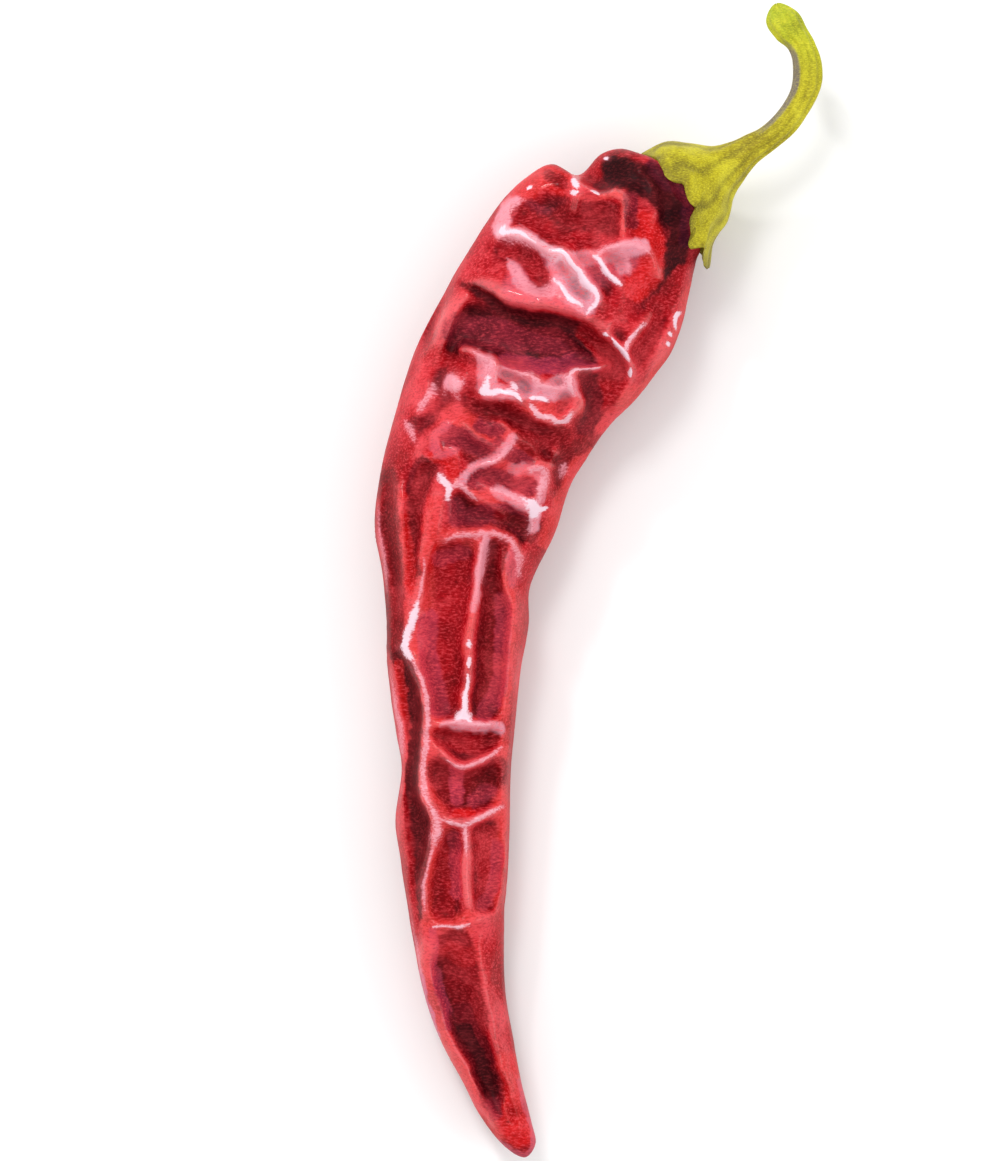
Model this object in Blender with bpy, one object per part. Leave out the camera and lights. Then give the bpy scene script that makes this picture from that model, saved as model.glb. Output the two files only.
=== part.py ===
"""A dried red chilli lying on its side, with its green calyx and stem. Metres, +Z up.

It is two closed solids. The pod is the dried fruit, a crumpled skin that tapers to a bent tip.
The stalk is one piece, because the calyx that caps the pod grows into the stem.
The chilli lies along Y with its tip at -Y, on the plane z = 0, and the origin is under its middle.
"""

import bmesh
import bpy
import numpy as np
from mathutils import Vector

MM = 0.001

# Driving dimensions, in millimetres. Every section and fold below is in millimetres too.
SEAT_GAP = 0.4
SEAT_RISE_TOP = 2.2
SEAT_RISE_UNDER = 1.0
SEAT_DIP = 1.4
CALYX_EDGE = 0.5
CALYX_LIP = 0.08
CALYX_NOTCH = 1.1
CALYX_TEETH = 9
UNDERSIDE_FOLDS = 30
UNDERSIDE_FOLD_HEIGHT = 1.3
UNDERSIDE_FOLD_WIDTH = 4.0
UNDERSIDE_HOLLOW = 0.7
POD_FACES_AROUND = 50
POD_RINGS = 92
POD_END_RINGS = 4
STALK_FACES_AROUND = 28
STALK_UNDER_RINGS = 6
STALK_RINGS = 36
SECTION_SPACING = 7.5
POD_LENGTH = 150
HALF_GIRTH = 44
RELIEF_DEPTH = 1.2
CREST_ROUNDING = 0.7
CREST_SHARPNESS = 1.8

# Sections across the pod from its tip to its shoulder, each given as it lies on the table:
# left edge x, y; right edge x, y; half depth; height of the section's middle.
POD_SECTIONS = [
    (-10.1, -86.6, -10.1, -86.6, 0.0, 6.3),
    (-13.9, -85.3, -9.1, -85.3, 2.2, 6.2),
    (-17.6, -80.6, -9.7, -81.2, 3.6, 6.0),
    (-20.8, -74.6, -11.2, -75.4, 4.5, 5.8),
    (-24.1, -68.3, -12.5, -68.3, 5.3, 5.7),
    (-26.5, -61.1, -13.7, -61.1, 6.0, 5.7),
    (-28.4, -50.6, -13.9, -50.6, 6.8, 6.1),
    (-29.6, -42.8, -13.3, -41.6, 7.3, 6.5),
    (-30.5, -34.9, -13.0, -35.6, 7.6, 6.8),
    (-29.6, -25.9, -12.5, -23.6, 7.8, 7.0),
    (-31.9, -11.6, -11.3, -11.6, 8.4, 7.6),
    (-32.3, 0.7, -9.8, -0.8, 9.1, 8.2),
    (-33.7, 9.1, -6.2, 7.6, 9.7, 8.8),
    (-31.4, 21.4, -3.8, 14.8, 10.2, 9.3),
    (-28.9, 31.1, 1.9, 23.3, 10.8, 9.9),
    (-24.8, 40.1, 6.8, 28.9, 11.2, 10.3),
    (-19.9, 49.3, 10.6, 33.7, 11.3, 10.5),
    (-13.1, 58.9, 13.3, 40.6, 11.0, 10.7),
    (-7.1, 62.9, 14.3, 44.8, 10.5, 10.9),
    (-1.7, 61.5, 14.6, 46.6, 9.9, 11.1),
    (3.2, 65.2, 14.9, 47.8, 9.4, 11.3),
    (6.1, 64.3, 15.2, 49.0, 8.6, 11.5),
]

# Sections across the stalk from the calyx edge to the end of the stem, given in the same way.
STALK_SECTIONS = [
    (6.4, 64.1, 16.4, 47.2, 9.3, 11.5),
    (10.1, 65.9, 17.5, 50.9, 8.0, 11.6),
    (13.9, 65.8, 19.4, 53.9, 6.2, 11.8),
    (17.2, 65.3, 20.3, 57.4, 4.2, 12.0),
    (19.9, 65.9, 21.5, 59.8, 3.1, 12.2),
    (22.3, 67.0, 23.6, 62.6, 2.4, 12.5),
    (24.7, 68.2, 26.6, 65.0, 2.0, 12.8),
    (27.2, 70.7, 30.1, 68.2, 1.9, 13.1),
    (29.0, 73.9, 33.2, 73.6, 2.0, 13.3),
    (29.3, 77.5, 33.5, 77.5, 2.0, 13.4),
    (28.6, 79.9, 32.6, 80.5, 2.0, 13.4),
    (26.6, 81.5, 31.3, 82.9, 2.4, 13.4),
    (25.3, 84.1, 29.8, 85.4, 2.2, 13.4),
    (26.8, 86.6, 26.8, 86.6, 0.0, 13.4),
]

# Raised folds on the pod's upper side: height, reach to each side, then the path of the crest.
CRESTS = [
    (1.5, 4.0, [(-22.9, 15.4), (-25.1, 7.1), (-29.2, -8.6), (-25.4, -21.4), (-26.2, -28.1)]),
    (1.5, 4.0, [(-26.2, -28.1), (-24.2, -36.8), (-25.9, -43.9), (-25.6, -50.6)]),
    (1.4, 3.5, [(-17.5, 6.7), (-18.5, -3.4), (-20.3, -20.6)]),
    (1.6, 3.5, [(-11.9, 3.1), (-12.7, -14.6), (-13.6, -24.4), (-13.9, -49.1)]),
    (1.3, 4.0, [(-22.6, 6.8), (-16.9, 7.4), (-11.9, 3.1)]),
    (1.3, 3.0, [(-23.6, -21.5), (-18.0, -22.0), (-13.4, -21.4)]),
    (1.3, 3.5, [(-24.7, -34.0), (-20.6, -36.1), (-13.7, -33.2)]),
    (1.0, 3.0, [(-19.6, -36.2), (-19.7, -44.6), (-19.1, -49.5)]),
    (1.2, 3.0, [(-26.0, -50.6), (-19.9, -51.4), (-14.2, -49.9)]),
    (1.4, 4.0, [(-26.3, -51.4), (-25.6, -61.1), (-22.1, -68.9), (-18.2, -76.6), (-13.9, -83.3)]),
    (1.3, 4.0, [(-18.4, 33.8), (-15.1, 30.5), (-11.6, 27.0), (-3.0, 28.5)]),
    (1.2, 3.5, [(-17.0, 20.5), (-11.5, 24.0), (-5.5, 19.0)]),
    (1.5, 4.5, [(-14.6, 42.8), (-5.6, 41.5), (1.1, 37.9), (4.9, 31.0)]),
    (1.3, 4.0, [(-14.6, 51.7), (-7.6, 49.1), (-2.8, 46.0), (-0.1, 41.9)]),
    (1.2, 4.0, [(-0.8, 48.7), (5.2, 50.2), (7.9, 46.4), (6.7, 38.3)]),
]

# Sunk folds on the upper side: depth, reach to each side, then the path of the bottom.
HOLLOWS = [
    (2.6, 5.0, [(-22.1, 37.9), (-11.6, 37.2), (0.4, 34.6)]),
    (1.8, 3.6, [(-3.5, 54.6), (1.5, 54.2)]),
    (1.4, 3.0, [(-9.5, 54.4), (-7.6, 53.0)]),
    (1.6, 4.0, [(8.4, 57.6), (9.8, 55.2), (10.8, 51.8)]),
    (1.2, 3.2, [(9.4, 44.6), (7.6, 35.6)]),
    (1.2, 3.2, [(-18.5, 14.8), (-12.0, 14.8)]),
    (1.7, 3.0, [(-22.0, 1.5), (-22.6, -14.5)]),
    (1.7, 2.8, [(-16.0, 1.0), (-16.4, -15.0)]),
    (1.6, 4.0, [(-22.0, -28.6), (-17.8, -28.6)]),
    (1.4, 3.0, [(-22.6, -40.4), (-23.0, -47.0)]),
    (1.4, 2.6, [(-16.7, -39.0), (-16.7, -45.5)]),
    (1.8, 2.6, [(-22.1, -59.6), (-19.6, -67.1), (-16.6, -74.6), (-16.0, -78.5)]),
    (1.2, 2.2, [(-29.0, -12.6), (-27.6, -20.6), (-28.2, -31.1), (-27.0, -42.0), (-27.0, -50.0)]),
    (1.0, 3.0, [(0.4, 29.2), (-1.5, 21.5)]),
]


def smooth_values(rows, t):
    """Rows of numbers joined by a smooth curve through each, read at row positions t."""
    rows = np.asarray(rows, dtype=float)
    first = np.clip(np.floor(t).astype(int), 1, len(rows) - 3)
    f = (t - first)[:, None]
    a, b, c, d = (rows[first + k] for k in (-1, 0, 1, 2))
    return b + 0.5 * f * (c - a + f * (2 * a - 5 * b + 4 * c - d + f * (3 * (b - c) + d - a)))


def smooth_path(points, steps_per_span=6):
    """A smooth line through a few points."""
    points = np.asarray(points, dtype=float)
    if len(points) == 2:
        return points
    padded = np.vstack([2 * points[0] - points[1], points, 2 * points[-1] - points[-2]])
    t = np.linspace(1, len(points), (len(points) - 1) * steps_per_span + 1)
    return smooth_values(padded, t)


def distance_to_path(xy, path):
    """Each point's distance to the nearest place on a path."""
    nearest = np.full(len(xy), np.inf)
    for start, end in zip(path[:-1], path[1:]):
        step = end - start
        share = np.clip((xy - start) @ step / (step @ step), 0.0, 1.0)
        nearest = np.minimum(nearest, np.linalg.norm(xy - start - share[:, None] * step, axis=1))
    return nearest


def smoothstep(low, high, value):
    """0 below low, 1 above high, and a smooth rise between."""
    share = np.clip((value - low) / (high - low), 0.0, 1.0)
    return share * share * (3.0 - 2.0 * share)


def seat_rise(angle):
    """How far the calyx line climbs the stem on the upper side and on the underside."""
    sine = np.sin(angle)
    return np.where(sine > 0, SEAT_RISE_TOP, SEAT_RISE_UNDER) * np.abs(sine) ** 1.5


def closed_tip(sections):
    """The sections with one more before the first, mirrored in it, so that the end closes round."""
    lx, ly, rx, ry, depth, height = sections[1]
    return [(rx, ry, lx, ly, -depth, height)] + list(sections)


def after_last(sections):
    """The section that would come next if the last two went on in line."""
    return tuple(2 * np.array(sections[-1]) - np.array(sections[-2]))


def section_frames(rows):
    """Middle, half width and the direction along the piece, for each section row."""
    left, right = rows[:, 0:2], rows[:, 2:4]
    half = (right - left) / 2
    width = np.linalg.norm(half, axis=1)
    across = half / np.maximum(width, 1e-9)[:, None]
    forward = np.stack([-across[:, 1], across[:, 0]], axis=1)
    return (left + right) / 2, half, forward


def even_steps(rows, low, high, count):
    """Row positions that place count sections evenly along both edges of a piece."""
    t = np.linspace(low, high, 1200)
    values = smooth_values(rows, t)
    step = np.diff(values[:, 0:5], axis=0)
    length = np.hypot(step[:, 0], step[:, 1]) + np.hypot(step[:, 2], step[:, 3]) + np.abs(step[:, 4])
    return np.interp(np.linspace(0, 1, count), np.append(0, np.cumsum(length)) / length.sum(), t)


# The pod's shoulder ends in a shallow seat, and the calyx follows that seat a hair above it.
_, SHOULDER_HALF, SHOULDER_FORWARD = (a[0] for a in section_frames(np.array(POD_SECTIONS[-1:])))
SHOULDER_MIDDLE = (np.array(POD_SECTIONS[-1][0:2]) + np.array(POD_SECTIONS[-1][2:4])) / 2
SHOULDER_WIDTH = np.linalg.norm(SHOULDER_HALF)
SHOULDER_DEPTH, SHOULDER_HEIGHT = POD_SECTIONS[-1][4:6]


def seat(xy, z):
    """Where the seat lies along the calyx axis, measured from the shoulder's last section."""
    across = (xy - SHOULDER_MIDDLE) @ (SHOULDER_HALF / SHOULDER_WIDTH) / SHOULDER_WIDTH
    up = (z - SHOULDER_HEIGHT) / SHOULDER_DEPTH
    spread = np.minimum(np.hypot(across, up), 1.0) ** 2
    return seat_rise(np.arctan2(up, across)) * spread - SEAT_DIP * (1 - spread)


def crest_share(distance, reach):
    """The part of a crest's height that is left at a distance from it: a rounded top, hollow flanks."""
    rounded = np.hypot(distance, CREST_ROUNDING) - CREST_ROUNDING
    return np.clip(1 - rounded / reach, 0, 1) ** CREST_SHARPNESS


def upper_relief(xy):
    """Height of the folds on the pod's upper side: sharp crests with sagging skin between."""
    raised = np.zeros(len(xy))
    for height, reach, points in CRESTS:
        raised = np.maximum(raised, height * crest_share(distance_to_path(xy, smooth_path(points)), reach))
    sunk = np.zeros(len(xy))
    for depth, reach, points in HOLLOWS:
        share = np.clip(distance_to_path(xy, smooth_path(points)) / reach, 0, 1)
        sunk = np.maximum(sunk, depth * (1 - share ** 2) ** 1.5)
    return RELIEF_DEPTH * (raised - sunk)


def under_relief(along, around):
    """Folds on the sides and underside: creases that wander along the pod, in a seeded scatter."""
    draw = np.random.RandomState(11)
    here = np.stack([along, around], axis=1)
    raised = np.zeros(len(along))
    for _ in range(UNDERSIDE_FOLDS):
        start = np.array([draw.uniform(0, POD_LENGTH), draw.uniform(0, HALF_GIRTH)])
        run = np.array([draw.uniform(14, 34), draw.uniform(-7, 7)])
        bend = np.array([0.0, draw.uniform(-3, 3)])
        path = smooth_path([start, start + run / 2 + bend, start + run])
        share = crest_share(distance_to_path(here, path), UNDERSIDE_FOLD_WIDTH)
        raised = np.maximum(raised, UNDERSIDE_FOLD_HEIGHT * draw.uniform(0.6, 1.0) * share)
    return raised - UNDERSIDE_HOLLOW


def pod_surface(t, angle):
    """Points of the pod's skin: t counts its sections, angle turns from the right edge upwards."""
    last = float(len(POD_SECTIONS))
    values = smooth_values(closed_tip(POD_SECTIONS) + [after_last(POD_SECTIONS)], np.minimum(t, last))
    middle, half, forward = section_frames(values)
    width = np.linalg.norm(half, axis=1)
    across = half / np.maximum(width, 1e-9)[:, None]
    cosine, sine = np.cos(angle), np.sin(angle)
    size = 1 - np.clip(t - last, 0, 1)
    on_seat = t >= last

    under = smoothstep(0.0, 0.45, -sine) * smoothstep(1.0, 3.0, t) * (1 - smoothstep(last - 1.2, last, t))
    outward = under * under_relief(SECTION_SPACING * t, width * np.mod(-angle, 2 * np.pi))
    xy = middle + across * ((width * size + outward) * cosine)[:, None]
    z = values[:, 5] + (values[:, 4] * size + outward) * sine

    over = smoothstep(0.0, 0.4, sine) * smoothstep(1.0, 2.6, t) * (1 - smoothstep(last - 0.9, last, t))
    z = z + over * upper_relief(xy)
    lean = np.where(on_seat, seat(xy, z), seat_rise(angle) * smoothstep(last - 2.5, last, t))
    return np.column_stack([xy + forward * lean[:, None], np.maximum(z, 0.0)])


def calyx_notches(angle):
    """Cuts between the calyx teeth, uneven in depth."""
    draw = np.random.RandomState(5)
    turn = np.mod(angle, 2 * np.pi) / (2 * np.pi) * CALYX_TEETH
    tooth = np.floor(turn).astype(int) % CALYX_TEETH
    depth = draw.uniform(0.4, 1.0, CALYX_TEETH)[tooth]
    return CALYX_NOTCH * depth * np.abs(np.sin(np.pi * turn)) ** 1.5


def stalk_surface(t, angle):
    """Points of the stalk: t below 0 is the calyx's underside, 0 its edge, and then the stem."""
    stem_end = closed_tip(STALK_SECTIONS[::-1])[0]
    before_edge = after_last(STALK_SECTIONS[1::-1])
    values = smooth_values([before_edge] + STALK_SECTIONS + [stem_end], np.maximum(t, 0.0) + 1)
    middle, half, forward = section_frames(values)
    size = np.clip(1 + t, 0, 1)
    xy = middle + half * (np.cos(angle) * size)[:, None]
    z = values[:, 5] + values[:, 4] * np.sin(angle) * size

    notches = calyx_notches(angle)
    edge = (seat_rise(angle) + notches + SEAT_GAP + CALYX_EDGE) * (1 - smoothstep(0.0, 2.0, t))
    height_now = (xy - SHOULDER_MIDDLE) @ SHOULDER_FORWARD
    beneath = seat(xy, z) + SEAT_GAP + notches * smoothstep(0.75, 1.0, size) - height_now
    under = (t < 0)[:, None]
    lean = np.where(under, beneath[:, None] * SHOULDER_FORWARD, edge[:, None] * forward)
    return np.column_stack([xy + lean, z])


def skinned_sphere(name, faces_around, stations, surface):
    """A sphere whose rings are moved to the given stations of a surface."""
    bm = bmesh.new()
    bmesh.ops.create_uvsphere(bm, u_segments=faces_around, v_segments=len(stations) - 1, radius=1.0)
    points = np.array([vert.co[:] for vert in bm.verts])
    ring = np.rint(np.arccos(np.clip(-points[:, 2], -1, 1)) / np.pi * (len(stations) - 1)).astype(int)
    placed = surface(np.asarray(stations)[ring], np.arctan2(points[:, 1], points[:, 0]))
    for vert, place in zip(bm.verts, placed):
        vert.co = Vector(place) * MM
    if bm.calc_volume(signed=True) < 0:
        bmesh.ops.reverse_faces(bm, faces=bm.faces)
    mesh = bpy.data.meshes.new(name)
    bm.to_mesh(mesh)
    bm.free()
    mesh.shade_smooth()
    return bpy.data.objects.new(name, mesh)


def plain_material(name, colour, roughness):
    material = bpy.data.materials.new(name)
    material.use_nodes = True
    shader = material.node_tree.nodes["Principled BSDF"]
    shader.inputs["Base Color"].default_value = (*colour, 1.0)
    shader.inputs["Roughness"].default_value = roughness
    shader.inputs["Metallic"].default_value = 0.0
    return material


def make_pod():
    """The dried fruit: sections joined from the tip to the shoulder, then the seat."""
    last = float(len(POD_SECTIONS))
    rows = closed_tip(POD_SECTIONS) + [after_last(POD_SECTIONS)]
    stations = list(even_steps(rows, 1.0, last, POD_RINGS))
    stations += list(last + np.linspace(0, 1, POD_END_RINGS + 1)[1:])
    pod = skinned_sphere("pod", POD_FACES_AROUND, stations, pod_surface)
    pod.data.materials.append(plain_material("dried skin", (0.36, 0.016, 0.022), 0.3))
    return pod


def make_stalk():
    """Calyx and stem in one: the underside, the toothed edge, the flare and the bent stem."""
    stations = list(np.linspace(-1, -CALYX_LIP, STALK_UNDER_RINGS))
    rows = [STALK_SECTIONS[0]] + STALK_SECTIONS + [STALK_SECTIONS[-1]]
    stations += list(even_steps(rows, 1.0, float(len(STALK_SECTIONS)), STALK_RINGS) - 1)
    stalk = skinned_sphere("stalk", STALK_FACES_AROUND, stations, stalk_surface)
    stalk.data.materials.append(plain_material("green stalk", (0.35, 0.33, 0.03), 0.6))
    return stalk


def centre_on_origin(pieces):
    """Move the meshes so that the origin is under the middle of their common box."""
    corners = np.array([vert.co[:] for piece in pieces for vert in piece.data.vertices])
    middle = (corners.min(axis=0) + corners.max(axis=0)) / 2
    for piece in pieces:
        for vert in piece.data.vertices:
            vert.co -= Vector((middle[0], middle[1], corners.min(axis=0)[2]))


for old in list(bpy.data.objects):
    bpy.data.objects.remove(old, do_unlink=True)

collection = bpy.data.collections.new("dried_chilli")
bpy.context.scene.collection.children.link(collection)
parts = [make_pod(), make_stalk()]
centre_on_origin(parts)
for part in parts:
    collection.objects.link(part)
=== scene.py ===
"""The looks of one dried red chilli: its crumpled glossy pod, its calyx and stem, and a plain studio.

The chilli's own sizes are in millimetres, and its shown side faces up. The node trees, the studio and
the camera work in metres, as Blender does.
"""

import bmesh
import bpy
import numpy as np
from mathutils import Matrix, Vector
from mathutils.bvhtree import BVHTree


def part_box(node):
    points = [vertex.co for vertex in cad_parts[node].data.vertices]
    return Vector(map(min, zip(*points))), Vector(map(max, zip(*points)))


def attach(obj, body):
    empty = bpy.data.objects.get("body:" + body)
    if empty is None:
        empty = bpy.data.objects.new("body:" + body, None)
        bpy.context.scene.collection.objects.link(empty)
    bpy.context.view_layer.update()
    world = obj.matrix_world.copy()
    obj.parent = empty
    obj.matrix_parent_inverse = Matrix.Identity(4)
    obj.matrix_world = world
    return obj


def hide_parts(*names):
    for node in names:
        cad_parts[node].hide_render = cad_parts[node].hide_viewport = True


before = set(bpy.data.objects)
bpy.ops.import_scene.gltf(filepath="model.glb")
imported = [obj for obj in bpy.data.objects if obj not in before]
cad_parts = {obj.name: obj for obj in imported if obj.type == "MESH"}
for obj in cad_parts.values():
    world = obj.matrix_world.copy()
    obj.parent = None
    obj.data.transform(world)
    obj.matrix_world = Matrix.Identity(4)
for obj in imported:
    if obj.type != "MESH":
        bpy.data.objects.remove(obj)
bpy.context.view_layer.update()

# The pod is the dried fruit. Its skin was full and round when fresh, and it shrank on to the seeds
# as it dried, so it lies in sharp ridges with sagging panels between them. It is one closed skin,
# from the bent tip up to the shoulder, where it puckers under the calyx.
MM = 0.001
PIXEL = 0.15
PHOTO_CENTRE = (597.5, 582.5)

POD_AROUND = 196
POD_ALONG = 496
SHARE_ON_TOP = 0.7
POD_SEAT_RINGS = 8
SEAT_RISE_TOP = 3.2
SEAT_RISE_UNDER = 1.0
SEAT_DIP = 1.4

# Sections from the tip to the shoulder, in pixels of the photograph: left edge, right edge.
# Then the half depth and the height of the middle, in millimetres.
POD_SECTIONS = [
    ((525, 1161), (525, 1161), 0.0, 6.3),
    ((503, 1149), (537, 1146), 2.4, 6.2),
    ((480, 1120), (533, 1124), 3.6, 6.0),
    ((459, 1080), (523, 1085), 4.5, 5.8),
    ((437, 1038), (514, 1038), 5.3, 5.7),
    ((421, 990), (506, 990), 6.0, 5.7),
    ((408, 920), (505, 920), 6.8, 6.1),
    ((400, 868), (509, 876), 7.3, 6.5),
    ((394, 820), (511, 830), 7.6, 6.8),
    ((400, 770), (512, 775), 7.7, 6.9),
    ((394, 730), (516, 730), 7.8, 7.1),
    ((386, 668), (522, 670), 8.3, 7.5),
    ((385, 620), (530, 625), 8.8, 8.0),
    ((381, 575), (532, 585), 9.1, 8.2),
    ((373, 522), (556, 534), 9.7, 8.8),
    ((381, 463), (570, 490), 10.1, 9.2),
    ((392, 420), (586, 461), 10.4, 9.5),
    ((405, 375), (610, 427), 10.8, 9.9),
    ((420, 336), (637, 400), 11.0, 10.2),
    ((440, 298), (658, 373), 11.3, 10.4),
    ((465, 254), (673, 352), 11.3, 10.5),
    ((500, 201), (684, 322), 11.1, 10.6),
    ((530, 173), (689, 300), 10.7, 10.8),
    ((553, 163), (692, 286), 10.4, 10.9),
    ((578, 174), (694, 275), 10.0, 11.0),
    ((599, 154), (696, 267), 9.7, 11.2),
    ((619, 148), (697, 262), 9.3, 11.3),
    ((638, 154), (699, 256), 8.6, 11.5),
]


def photo_mm(points):
    """Places in the photograph, in pixels, as millimetres in the frame's own x and y."""
    points = np.asarray(points, dtype=float)
    return np.stack([points[..., 0] - PHOTO_CENTRE[0], PHOTO_CENTRE[1] - points[..., 1]], -1) * PIXEL


def section_rows(sections):
    """Sections as rows of left x, y, right x, y, half depth and height, in millimetres."""
    return np.array([(*photo_mm(left), *photo_mm(right), *rest) for left, right, *rest in sections])


def mirrored(row):
    """A section on the far side of an end, so that the end closes round."""
    return row[[2, 3, 0, 1, 4, 5]] * [1, 1, 1, 1, -1, 1]


def smooth_values(rows, t):
    """Rows of numbers joined by a smooth curve through each, read at row positions t."""
    first = np.clip(np.floor(t).astype(int), 1, len(rows) - 3)
    f = (t - first)[:, None]
    a, b, c, d = (rows[first + k] for k in (-1, 0, 1, 2))
    return b + 0.5 * f * (c - a + f * (2 * a - 5 * b + 4 * c - d + f * (3 * (b - c) + d - a)))


def smooth_path(points, steps_per_span=5):
    """A smooth line through a few points, with whatever else each point carries."""
    points = np.asarray(points, dtype=float)
    padded = np.vstack([2 * points[0] - points[1], points, 2 * points[-1] - points[-2]])
    return smooth_values(padded, np.linspace(1, len(points), (len(points) - 1) * steps_per_span + 1))


def smoothstep(low, high, value):
    """0 below low, 1 above high, and a smooth rise between."""
    share = np.clip((value - low) / (high - low), 0.0, 1.0)
    return share * share * (3.0 - 2.0 * share)


def section_frames(values):
    """Middle, half width and the direction along the piece, for each section."""
    half = (values[:, 2:4] - values[:, 0:2]) / 2
    width = np.linalg.norm(half, axis=1)
    across = half / np.maximum(width, 1e-9)[:, None]
    return (values[:, 0:2] + values[:, 2:4]) / 2, width, across, np.stack([-across[:, 1], across[:, 0]], 1)


WALK_STEPS = 4000


def even_steps(rows, low, high, count):
    """Row positions that place count sections evenly along both edges of a piece."""
    t = np.linspace(low, high, WALK_STEPS)
    step = np.diff(smooth_values(rows, t)[:, 0:5], axis=0)
    length = np.hypot(step[:, 0], step[:, 1]) + np.hypot(step[:, 2], step[:, 3]) + np.abs(step[:, 4])
    return np.interp(np.linspace(0, 1, count), np.append(0, np.cumsum(length)) / length.sum(), t)


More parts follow.
